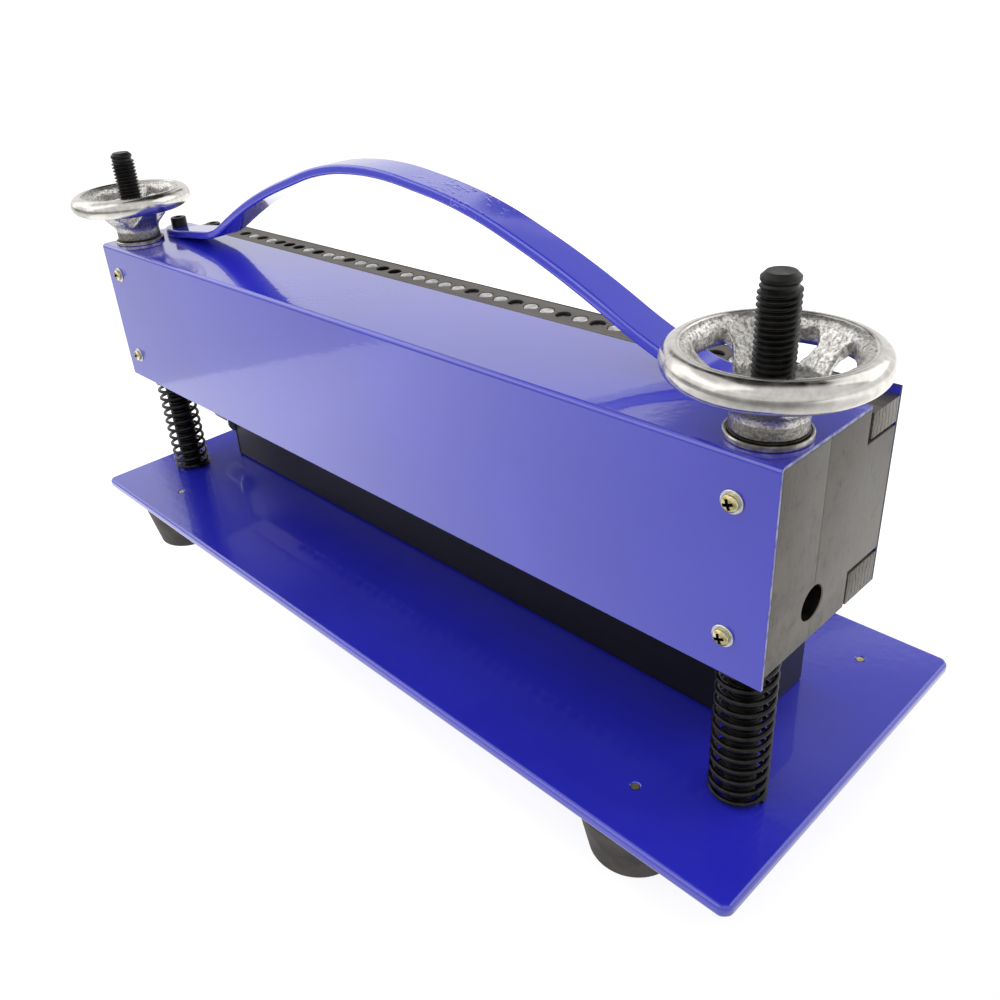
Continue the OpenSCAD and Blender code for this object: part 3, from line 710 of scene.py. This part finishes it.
def back_cover():
    """Flat sheet. Its top edge is level with the rail, higher at the right end and lower at the left end."""
    tab, slope = 17, 3
    end, top, cut = back_high.x, back_high.z, box("upper_pin_rail")[1].z - 0.1
    outline = [(-end, back_low.z), (end, back_low.z), (end, top), (end - tab, top), (end - tab - slope, cut),
               (-LAND_X, cut), (-LAND_X - slope, LAND_Z), (-end, LAND_Z)]
    obj = bevelled(new_object(prism("back_cover_sheet", outline, back_low.y, back_high.y, "Y")), 0.25, 2)
    finish_piece(even_shading(obj), COAT, "beam", "blue_powder_coat", "back_cover")
    paint_faces(obj, BLACK_EDGE, lambda centre, normal: abs(normal.y) < 0.8)


HANDLE_T = 4.0
HANDLE_EDGE_R = 1.1
HANDLE_Y = middle("handle_bar").y
# The bends of the bar's underside: place along the beam, height above the cover, reach of the bend
HANDLE_BENDS = ((-181, 0, 3.6), (-138, 4.9, 9), (-92, 29.2, 26), (-32, 48.5, 18), (5, 50.6, 17),
                (56, 43.1, 22), (104, 25.2, 22), (136, 9, 10), (159.5, 0, 8))


def handle_path():
    """The bar's middle line in X and Z, from the left foot's end to the right foot's end."""
    left, right = handle_low.x, handle_high.x
    corners = [Vector((left, 0)), *(Vector(bend[:2]) for bend in HANDLE_BENDS), Vector((right, 0))]
    under = corners[:1]
    for before, here, after, (_, _, reach) in zip(corners, corners[1:], corners[2:], HANDLE_BENDS):
        start = here + (before - here).normalized() * reach
        end = here + (after - here).normalized() * reach
        for t in (i / 12 for i in range(13)):
            under.append(start * (1 - t) ** 2 + here * 2 * t * (1 - t) + end * t ** 2)
    under.append(corners[-1])
    path = []
    for i, point in enumerate(under):
        along = (under[min(i + 1, len(under) - 1)] - under[max(i - 1, 0)]).normalized()
        path.append(point + Vector((0, handle_low.z)) + Vector((-along.y, along.x)) * HANDLE_T / 2)
    path[0].x, path[-1].x = left, right
    return path


def resampled(path, step):
    """The same path with points about a step apart."""
    result = [path[0]]
    for a, b in zip(path, path[1:]):
        parts = max(1, round((b - a).length / step))
        result += [a.lerp(b, (i + 1) / parts) for i in range(parts)]
    return result


def point_at(path, lengths, s):
    """The place at length s along a path, and the direction there."""
    i = next((k for k in range(len(lengths) - 1) if lengths[k + 1] >= s - 1e-6), len(lengths) - 2)
    t = (s - lengths[i]) / max(lengths[i + 1] - lengths[i], 1e-6)
    before, after = path[max(i - 1, 0)], path[min(i + 2, len(path) - 1)]
    return path[i].lerp(path[i + 1], t), (after - before).normalized()


def rounded_box(half_w, half_h, r):
    """A rectangle with round corners, anticlockwise."""
    points = []
    for k, (sx, sy) in enumerate(((1, 1), (-1, 1), (-1, -1), (1, -1))):
        start = k * math.pi / 2
        points += arc_points((sx * (half_w - r), sy * (half_h - r)), r, start, start + math.pi / 2, 4)
    return points


def handle_bar():
    """Flat bar with rolled edges and round ends, swept along the bent path."""
    half_w = (handle_high.y - handle_low.y) / 2
    path = resampled(handle_path(), 2.2)
    lengths = [0.0]
    for a, b in zip(path, path[1:]):
        lengths.append(lengths[-1] + (b - a).length)
    total = lengths[-1]
    # The sections lie closer together where the ends are rounded
    ends = [half_w * (1 - math.cos(math.pi / 2 * i / 10)) for i in range(11)]
    between = [s for s in lengths if half_w < s < total - half_w]
    rings = []
    for s in sorted({*ends, *between, *(total - e for e in ends)}):
        here, along = point_at(path, lengths, s)
        inset = half_w - min(s, total - s, half_w)
        width = max(math.sqrt(half_w ** 2 - inset ** 2), 0.25)
        section = rounded_box(width, HANDLE_T / 2, min(HANDLE_EDGE_R, width * 0.9))
        rings.append([(here.x - along.y * h, HANDLE_Y + a, here.y + along.x * h) for a, h in section])
    obj = even_shading(new_object(skin("handle_bent_bar", rings, 0.7)))
    finish_piece(obj, HANDLE_COAT, "beam", "blue_powder_coat", "handle_bar")


# ---- beam blocks and rails

SIDE_HOLE_R = 6.2
SIDE_HOLE_Z = beam_low.z + 13.8


def side_hole(end):
    """A cutter for the crossbar hole on the seam at one end of the beam."""
    r, depth, lip = SIDE_HOLE_R, 6.5, 0.35
    section = ((0, -depth), (r, -depth), (r, -lip), (r + lip, 0.02), (r + lip, 1), (0, 1))
    mesh = lathe("side_hole", section, 48)
    place = Vector((end * beam_high.x, beam_high.y, SIDE_HOLE_Z)) * MM
    mesh.transform(Matrix.Translation(place) @ Matrix.Rotation(end * math.pi / 2, 4, "Y"))
    return mesh


def in_side_hole(centre, normal):
    away = math.hypot(centre.y - beam_high.y, centre.z - SIDE_HOLE_Z)
    return away < SIDE_HOLE_R + 0.3 and abs(centre.x) < beam_high.x - 0.4


def block(name, outline, low, high, broken):
    """A bar pushed from its end outline, with its corners broken and its edges eased."""
    return bevelled(new_object(prism(name, clipped(outline, broken), low.x, high.x)), 0.2, 2, 1.0)


def milled_block(node, outline):
    """One half of the beam, with painted shade in its side holes."""
    obj = drilled(block(node + "_milled", outline, *box(node), 0.25), *map(side_hole, ENDS))
    finish_piece(obj, MILLED, "beam", "machined_steel", node)
    # Painted shade on the faces inside the side holes
    paint_faces(obj, HOLE_SHADE, in_side_hole)


def beam_blocks():
    """The front block, eased for the cover's bend, and the rear block with rebates for the pin rails."""
    y0, y1, z0, z1 = beam_low.y, beam_high.y, beam_low.z, beam_high.z
    milled_block("front_block", [(y0, z0), (y1, z0), (y1, z1), (y0, z1, 0.8)])
    y0, y1, z0, z1 = rear_low.y, rear_high.y, rear_low.z, rear_high.z
    low_y, low_z, up_y, up_z = -3.1, z0 + 13.8, -1.6, z0 + 59.1
    milled_block("rear_block", [(y0, z0), (low_y, z0), (low_y, low_z, 0), (y1, low_z), (y1, up_z),
                                (up_y, up_z, 0), (up_y, z1), (y0, z1)])


def pin_places(numbers):
    return [((i - (PIN_COUNT + 1) / 2) * PIN_PITCH, PIN_Y) for i in numbers]


# Socket cap heads: radius, height and width of the hexagon
CAP_HEAD = (4.25, 5.0, 4.0)
# The upper rail's screws stand in counterbores
RAIL_SCREW_X = 192
RAIL_SCREW_BASE = rear_high.z - 3.4
PIN_HOLE_R = PIN_R + 0.12
PIN_MOUTH = 0.32


def in_pin_hole(centre, normal):
    nearest = round(centre.x / PIN_PITCH)
    away = math.hypot(centre.x - nearest * PIN_PITCH, centre.y - PIN_Y)
    inside = away < PIN_HOLE_R + PIN_MOUTH + 0.1
    return inside and abs(nearest) <= PIN_COUNT // 2 and abs(normal.z) < 0.9


def pin_rail(which):
    """A ground rail with 37 reamed holes and countersunk mouths. The upper one has a land at each end."""
    low, high = box(which + "_pin_rail")
    obj = block(which + "_rail_ground", rectangle(low.y, low.z, high.y, high.z), low, high, 0.3)
    r, wide, under, over = PIN_HOLE_R, PIN_HOLE_R + PIN_MOUTH, low.z - 1, high.z + 1
    section = [(0, under), (r, under), (r, high.z - PIN_MOUTH), (wide + 0.05, high.z + 0.05), (wide, over),
               (0, over)]
    if which == "lower":
        section = [(r, low.z + high.z - z) for r, z in section]
    else:
        outlines = [rectangle(end * LAND_X, low.y - 1, end * (high.x + 1), high.y + 1) for end in ENDS]
        drilled(obj, *(prism("land", outline, LAND_Z, over, "Z") for outline in outlines))
        r = CAP_HEAD[0] + 0.3
        sunk = rectangle(0, RAIL_SCREW_BASE, r, over)
        drilled(obj, *(lathe("counterbore", sunk, 40, (end * RAIL_SCREW_X, PIN_Y)) for end in ENDS))
    places = pin_places(range(1, PIN_COUNT + 1))
    drilled(obj, *(lathe("hole", section, 32, place) for place in places))
    finish_piece(obj, GROUND, "beam", "ground_steel", which + "_pin_rail")
    # Painted shade on the walls and mouths of the pin holes
    paint_faces(obj, HOLE_SHADE, in_pin_hole)


def drive_pins():
    """Pins with broken edges, in three rows that stand at three heights."""
    low, high = box("flush_pins")
    length, e, r = high.z - low.z, 0.35, PIN_R - 0.02
    section = [(0, 0), (r - e, 0), (r, e), (r, length - e), (r - e, length), (0, length)]
    flush = [i for i in range(1, PIN_COUNT + 1) if i not in RECESSED + DEEP]
    for row, numbers in (("flush", flush), ("recessed", RECESSED), ("deep", DEEP)):
        places = [(x, y, box(row + "_pins")[0].z) for x, y in pin_places(numbers)]
        copies(row + "_pins_bright", lathe("pin", section, 28), places, PIN, row + "_pin_row", "pin_steel",
               row + "_pins")


# ---- rods and springs

def threaded_rod(side):
    """A right-hand thread in one helix round a core with a chamfered nose."""
    core, crest, segments = ROD_R - THREAD_DEPTH, ROD_R - 0.04, 36
    centre = (SIDES[side] * ROD_X, ROD_Y)
    start, finish = plate_low.z + 1, rod_high.z - 2.6
    steps = int((finish - start) / THREAD_PITCH) * segments
    # The thread's section from root to crest and back, as shares of the pitch and radii
    profile = ((0.0, core), (0.07, core), (0.42, crest), (0.5, ROD_R), (0.6, crest), (0.93, core))
    rings = []
    for s in range(steps + 1):
        a = TAU * s / segments
        fade = min(1.0, min(s, steps - s) / (segments * 0.7))
        ring = []
        for share, radius in profile:
            r = core + (radius - core) * fade
            z = start + THREAD_PITCH * (s / segments + share)
            ring.append((centre[0] + r * math.cos(a), centre[1] + r * math.sin(a), z))
        rings.append(ring)
    # The root joins each turn to the next
    count = len(profile)
    roots = [(i - 1, i - count + segments * count, i + segments * count, i + count - 1)
             for i in range(count, (steps - segments + 1) * count, count)]
    thread = skin("thread", rings, 0.5, closed=False, capped=False, more=roots)
    nose, tip, inner = ROD_R - 0.55, 1.4, core - 0.02
    bottom, neck, top = rod_low.z, finish - 0.5, rod_high.z
    section = [(0, bottom), (ROD_R - 1, bottom), (ROD_R, bottom + 1), (ROD_R, start + 1), (inner, start + 2),
               (inner, neck), (nose, neck + 0.8), (nose, top - tip), (nose - 0.12, top - tip + 0.15),
               (nose - tip + 0.1, top - 0.12), (nose - tip, top), (0, top)]
    shank = lathe("shank", section, 48, centre, 0.5)
    obj = new_object(joined(side + "_rod_threaded", [thread, shank]))
    finish_piece(obj, OXIDE, "stand", "black_oxide_steel", side + "_rod")


def coil_spring(side):
    low, high = box(side + "_spring")
    x = SIDES[side] * ROD_X
    obj = grown(side + "_spring_wire", [], COIL, Turns=SPRING_TURNS, Radius=SPRING_R * MM,
                Height=(high.z - low.z) * MM, Wire=SPRING_WIRE * MM, Material=WIRE)
    obj.data.transform(Matrix.Translation(Vector((x, ROD_Y, low.z)) * MM))
    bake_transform(obj)
    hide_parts(side + "_spring")


# ---- thrust stacks and handwheels

def thrust_stack(side):
    """A turned washer with a pocket, and the greased bearing ring that lies in it."""
    washer, ring = side + "_thrust_washer", side + "_bearing_ring"
    bore, e, pocket = ROD_R + 0.5, 0.3, 12.0
    low, high = box(washer)
    outer, floor_z = (high.x - low.x) / 2, high.z - 1.2
    hollow = [(bore, low.z), (outer - e, low.z), (outer, low.z + e), (outer, high.z - e), (outer - e, high.z),
              (pocket + 0.1, high.z), (pocket, high.z - 0.15), (pocket, floor_z), (bore, floor_z)]
    low, high = box(ring)
    outer = (high.x - low.x) / 2
    plain = [(bore, low.z), (outer, low.z), (outer, high.z - e), (outer - e, high.z), (bore, high.z)]
    for node, ending, section, material, slot in ((washer, "_turned", hollow, WASHER, "washer_steel"),
                                                  (ring, "_greased", plain, BEARING_IN_SHADE, "bearing_steel")):
        obj = new_object(lathe(node + ending, section, 96, (SIDES[side] * ROD_X, ROD_Y), 0.5))
        finish_piece(obj, material, "beam", slot, node)


WHEEL_ARMS = 5
RIM_R = 4.8
RIM_CENTRE = (26.45, 20.4)
HUB_R = 11.25
WHEEL_BORE = ROD_R + 0.05


def rim_arc(radius, start, end, steps):
    """Part of the rim's round section, from one angle in degrees to another."""
    return arc_points(RIM_CENTRE, radius, math.radians(start), math.radians(end), steps)


def window_outline(turn):
    """The opening between two arms, as a triangle with round corners."""
    corner = 2.4
    triangle = [Vector((15.2, 0.0)), Vector((19.3, -5.8)), Vector((19.3, 5.8))]
    points = []
    for before, here, after in zip(triangle[-1:] + triangle, triangle, triangle[1:] + triangle[:1]):
        start, end = (math.atan2(way.y, way.x) - math.pi / 2 for way in (here - before, after - here))
        points += arc_points(here, corner, start, end if end >= start else end + TAU, 6)
    return turned(points, turn)


def wheel_casting():
    """Hub, dished arms and skirt as one casting, blended by a voxel remesh and pebbled."""
    inside = WHEEL_BORE - 0.8
    section = [(inside, 0), (HUB_R, 0), (HUB_R, 4.8), (HUB_R + 0.6, 6.6), (HUB_R + 2.2, 8.4),
               *rim_arc(RIM_R - 0.35, -145, 165, 24), (HUB_R + 3.4, 13.2), (HUB_R, 12.2), (9.2, 13),
               (8.6, 14.6), (inside, 14.6)]
    obj = new_object(lathe("casting", section, 96))
    turns = [(k + 0.5) * TAU / WHEEL_ARMS for k in range(WHEEL_ARMS)]
    drilled(obj, *(prism("window", window_outline(turn), -1, RIM_CENTRE[1] + 6, "Z") for turn in turns))
    modifier = obj.modifiers.new("cast", "REMESH")
    modifier.voxel_size = 0.55 * MM
    smooth = obj.modifiers.new("fillets", "SMOOTH")
    smooth.factor = 0.5
    smooth.iterations = 9
    apply_modifiers(obj, smooth_angle=None)
    roughen(obj.data)
    obj.data.materials.append(CAST)
    return mesh_only(obj)


def roughen(mesh):
    """Pushes the cast skin in and out like packed sand, except on the turned hub."""
    bm = bmesh.new()
    bm.from_mesh(mesh)
    bm.normal_update()
    for vert in bm.verts:
        radius = math.hypot(vert.co.x, vert.co.y) / MM
        away = max(0.0, min(1.0, (radius - HUB_R - 0.6) / 2))
        if away:
            grain = noise.noise(vert.co * 900) * 0.12 + noise.noise(vert.co * 350) * 0.16
            vert.co += vert.normal * grain * MM * away
    for face in bm.faces:
        face.smooth = True
    bm.to_mesh(mesh)
    bm.free()


def handwheel(side, casting):
    """The casting with its turned hub sleeve and its polished rim."""
    section = rim_arc(RIM_R, -115, 98, 32) + rim_arc(RIM_R - 1.3, 116, 232, 14)
    rim = lathe("rim", section, 144, smooth_angle=3.0)
    rim.materials.append(CHROME)
    e, bore = 0.3, WHEEL_BORE
    section = [(bore, 0), (HUB_R - e, 0), (HUB_R, e), (HUB_R, 5.2), (HUB_R - 1, 7), (bore, 7)]
    sleeve = lathe("sleeve", section, 96)
    sleeve.materials.append(HUB)
    mesh = joined(side + "_handwheel_cast", [casting, rim, sleeve])
    base = Vector((SIDES[side] * ROD_X, ROD_Y, box(side + "_handwheel")[0].z))
    mesh.transform(Matrix.Translation(base * MM))
    finish_piece(new_object(mesh), None, side + "_wheel", "cast_chrome", side + "_handwheel")


# ---- screws, feet and anvil

def pan_head():
    """A cross-recessed pan head on the origin, its top towards +Z."""
    r, h = 2.9, 2.1
    dome = [(r * math.cos(a), h * (0.38 + 0.62 * math.sin(a))) for a in (math.pi / 16 * i for i in range(8))]
    obj = new_object(lathe("pan_head", [(0, 0), (r - 0.2, 0), (r, 0.25), *dome, (0, h)], 32))
    for turn in (20, 110):
        slot = turned(rectangle(-1.8, -0.54, 1.8, 0.54), math.radians(turn))
        drilled(obj, prism("slot", slot, h * 0.12, h * 2, "Z"))
    return mesh_only(obj)


def socket_head():
    """A socket cap head on the origin with a hexagon recess."""
    r, h, flats = CAP_HEAD
    e = 0.45
    section = [(0, 0), (r - 0.2, 0), (r, 0.2), (r, h - e), (r - e, h), (0, h)]
    obj = new_object(lathe("cap_head", section, 48))
    hexagon = arc_points((0, 0), flats / 2 / math.cos(math.pi / 6), 0, TAU, 6)[:-1]
    drilled(obj, prism("hexagon", hexagon, h * 0.45, h * 2, "Z"))
    return mesh_only(obj)


def cover_heads(name, places, node, turn):
    """Cover screws that face the front or the back, with painted shade in their cross recesses."""
    def recessed(centre, normal):
        ways = [centre - Vector(place) for place in places]
        return any(math.hypot(way.x, way.z) < 1.85 and 0.1 < abs(way.y) < 1.6 for way in ways)

    heads = copies(name, pan_head(), places, YELLOW, "beam", "yellow_zinc", node, turn=turn)
    paint_faces(heads, HOLE_SHADE, recessed)


def cover_fasteners():
    """Four screws with washers in the top cover's front, and four bare ones in the back cover."""
    x, outwards, backwards = 194.3, (math.pi / 2, 0, 0), (-math.pi / 2, 0, 0)
    inner, r, h, e = 1.5, 3.8, 0.7, 0.15
    washer = lathe("washer", [(inner, 0), (r - e, 0), (r, e), (r, h - e), (r - e, h), (inner, h)], 48)
    places = [(end * x, cover_low.y, beam_low.z + z) for end in ENDS for z in (9.8, 57)]
    copies("cover_washers_plated", washer, places, WHITE, "beam", "white_zinc", "cover_washers",
           turn=outwards)
    cover_heads("cover_screw_heads", [(x, y - h, z) for x, y, z in places], "cover_screws", outwards)
    places = [(end * x, back_high.y, beam_low.z + z) for end in ENDS for z in (20, 52)]
    cover_heads("back_cover_screw_heads", places, "back_cover_screws", backwards)


def cap_screws():
    """The handle's two cap screws, the upper rail's two and the lower rail's two."""
    on_handle = [(x, HANDLE_Y, handle_low.z + HANDLE_T) for x in (-189, 180)]
    above = [(end * RAIL_SCREW_X, PIN_Y, RAIL_SCREW_BASE) for end in ENDS]
    below = [(end * RAIL_SCREW_X, PIN_Y, rear_low.z + 5.4) for end in ENDS]
    for name, places, nodes, tilt in (("handle_screw_heads", on_handle, ["handle_screws"], 0),
                                      ("rail_screw_heads", above, ["rail_screws"], 0),
                                      ("lower_rail_screw_heads", below, [], math.pi)):
        copies(name, socket_head(), places, OXIDE, "beam", "black_oxide_steel", *nodes, turn=(tilt, 0, 0))


def rubber_feet():
    """Tapered feet with a rounded floor edge, hollow under the screw."""
    low, high = box("rubber_feet")
    h, floor_r, edge = high.z - low.z, 17.0, 1.2
    round_edge = arc_points((floor_r - edge, edge), edge, -math.pi / 2, -0.05, 7)
    section = [(6, 9), (6, 0), *round_edge, (21.2, h - 0.8), (20.6, h), (1.5, h), (1.5, 9)]
    places = [(x, y, low.z) for x, y in FOOT_PLACES]
    foot = lathe("foot", section)
    copies("rubber_feet_moulded", foot, places, RUBBER, "stand", "foot_rubber", "rubber_feet")


def painted_bar(name, node, broken, rounding, segments):
    """A bar with broken and rounded edges, painted black."""
    low, high = box(node)
    outline = clipped(rectangle(low.y, low.z, high.y, high.z), broken)
    obj = bevelled(new_object(prism(name, outline, low.x, high.x)), rounding, segments)
    finish_piece(obj, PAINT, "stand", "black_painted_steel", node)


def stop_fittings():
    """The thin bracket on the anvil's left end, with its two screws, a collar screw and a knob."""
    face_x = box("anvil_bar")[0].x - 2
    low, high = box("stop_screw")
    _, y, z = middle("stop_screw")
    r, h = (high.z - low.z) / 2, 1.6
    collar = [(0, -2), (2.5, -2), (2.5, 0), (r - 0.2, 0), (r, 0.2), (r, h - 0.5), (r - 0.5, h), (0, h)]
    low, high = box("stop_knob")
    r, length = (high.z - low.z) / 2, face_x - low.x
    nose = arc_points((0, length - r), r, 0, math.pi / 2, 10)[:-1]
    knob = [(0, h), (r - 1.5, h), (r - 0.9, 3), (r, 5.6), *nose, (0, length)]
    outwards = Matrix.Translation(Vector((face_x, y, z)) * MM) @ Matrix.Rotation(-math.pi / 2, 4, "Y")
    for mesh, material, slot, node in (
            (lathe("stop_collar_screw", collar), WHITE, "white_zinc", "stop_screw"),
            (lathe("stop_knob_moulded", knob, 48), PHENOLIC, "black_plastic", "stop_knob")):
        mesh.transform(outwards)
        finish_piece(new_object(mesh), material, "stand", slot, node)
    painted_bar("end_bracket_painted", "end_bracket", 0.4, 0.3, 2)
    places = [(face_x, 4.5, z) for z in (36, 61)]
    copies("bracket_screw_heads", pan_head(), places, WHITE, "stand", "white_zinc", "bracket_screws",
           turn=(0, -math.pi / 2, 0))


base_plate()
top_cover()
back_cover()
handle_bar()
beam_blocks()
pin_rail("upper")
pin_rail("lower")
drive_pins()
cast_wheel = wheel_casting()
for side in SIDES:
    threaded_rod(side)
    coil_spring(side)
    thrust_stack(side)
    handwheel(side, cast_wheel)
cover_fasteners()
cap_screws()
rubber_feet()
painted_bar("anvil_painted", "anvil_bar", 1, 0.5, 3)
stop_fittings()
# Solids that already have the right shape get their finish only
for node, material in {"foot_screws": YELLOW, "rod_nuts": WHITE, "rod_washers": WHITE, "anvil_screws": OXIDE,
                       "block_bolts": OXIDE}.items():
    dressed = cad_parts[node].data.materials
    dressed.clear()
    dressed.append(material)


# ---- floor, light and sky, in metres

# The shaded floor under the lens, and the direction that crosses the table's left edge
SHADE_CENTRE = (0.45, -0.48, 0.0)
TABLE_EDGE_WAY = (0.92, 0.39, 0.0)


def studio_white():
    """A white table. Mirrors see its ends, to the left and in front, and the shade under the lens."""
    f = Finish("white_table", "#E7E7E7")
    mirrored, camera = f.rays()
    place = f.add("ShaderNodeNewGeometry").outputs["Position"]
    to_shade = f.add("ShaderNodeVectorMath", {0: place}, {1: SHADE_CENTRE}, operation="DISTANCE")
    shade = f.remap(to_shade.outputs["Value"], 0.22, 0.75, 0.06, 1.0)
    left = f.remap(f.along(place, TABLE_EDGE_WAY), -0.432, -0.424, 0.62, 1.12)
    front = f.remap(f.along(place, (0, 1, 0)), -0.47, -0.41, 0.15, 1.0)
    glow = f.add("ShaderNodeEmission", {"Strength": f.larger(left * front * shade, camera * 0.86)})
    faint, plain = (f.add("ShaderNodeBsdfDiffuse", inputs={"Color": (v, v, v, 1.0)}) for v in (0.29, 0.8))
    both = f.add("ShaderNodeAddShader", {0: glow.outputs[0], 1: faint.outputs[0]})
    seen = f.larger(mirrored, camera)
    pick = f.add("ShaderNodeMixShader", {"Fac": seen, 1: plain.outputs[0], 2: both.outputs[0]})
    f.link(pick.outputs[0], f.tree.nodes["Material Output"].inputs["Surface"])
    return f.material


def floor():
    half = 6.0 / MM
    corners = [(x, y, 0) for x, y in rectangle(-half, -half, half, half)]
    obj = new_object(skin("floor", [corners], capped=False, more=[(0, 1, 2, 3)]))
    obj.data.materials.append(studio_white())


def soft_box(name, place, size, power):
    """A square lamp aimed at the middle of the piece."""
    data = bpy.data.lights.new(name, "AREA")
    data.size = size
    data.energy = power
    direction = Vector((0, 0, 0.1)) - Vector(place)
    turn = direction.to_track_quat("-Z", "Y").to_matrix().to_4x4()
    new_object(data).matrix_world = Matrix.Translation(place) @ turn


def sky():
    """White behind the piece and low round it, with a dim ceiling and a lamp for mirrors to see."""
    world = bpy.data.worlds.new("studio")
    bpy.context.scene.world = world
    world.use_nodes = True
    w = NodeTree(world.node_tree)
    way = w.add("ShaderNodeTexCoord").outputs["Generated"]
    back, up = w.along(way, (0, 1, 0)), w.along(way, (0, 0, 1))
    # White walls fade into a dark ceiling
    low = w.remap(w.along(way, (0.2, 0, 1)), 0.53, 0.57, 0.95, 0.41)
    ceiling = low * w.remap(up, 0.69, 0.75, 1.0, 0.1)
    # A dark wall stands high at the back left, between a window and the white backdrop
    band = w.remap(back, 0.325, 0.345) * w.remap(back, 0.48, 0.58, 1.0, 0.0)
    wall = band * w.remap(up, 0.35, 0.4, 0.0, 0.95)
    door = w.remap(w.along(way, (-0.42, 0.76, 0.5)), 0.991, 0.995, 1.0, 0.15)
    # The room is dark in front, below the lamps
    front = w.larger(w.remap(back, -0.5, -0.25, 0.2, 1.0), w.remap(up, 0.3, 0.42))
    lamp = w.remap(w.along(way, (0.66, -0.58, 0)), -0.1, 0.25, 0.0, 0.8)
    room = w.larger(ceiling * door * (1.0 - wall) * front, lamp)
    # The piece is lit by an even grey, and the camera sees plain white behind it
    mirrored, camera = w.rays()
    level = mirrored * room + (1.0 - mirrored) * 0.62
    background = w.tree.nodes["Background"]
    background.inputs["Color"].default_value = (1.0, 1.0, 1.0, 1.0)
    w.link(w.larger(level, camera), background.inputs["Strength"])


floor()
soft_box("key_light", (-1.1, -0.9, 1.3), 2.6, 15.5)
soft_box("back_light", (0.7, 1.1, 1.2), 1.2, 5.0)
sky()

bpy.context.scene.view_settings.view_transform = "Standard"
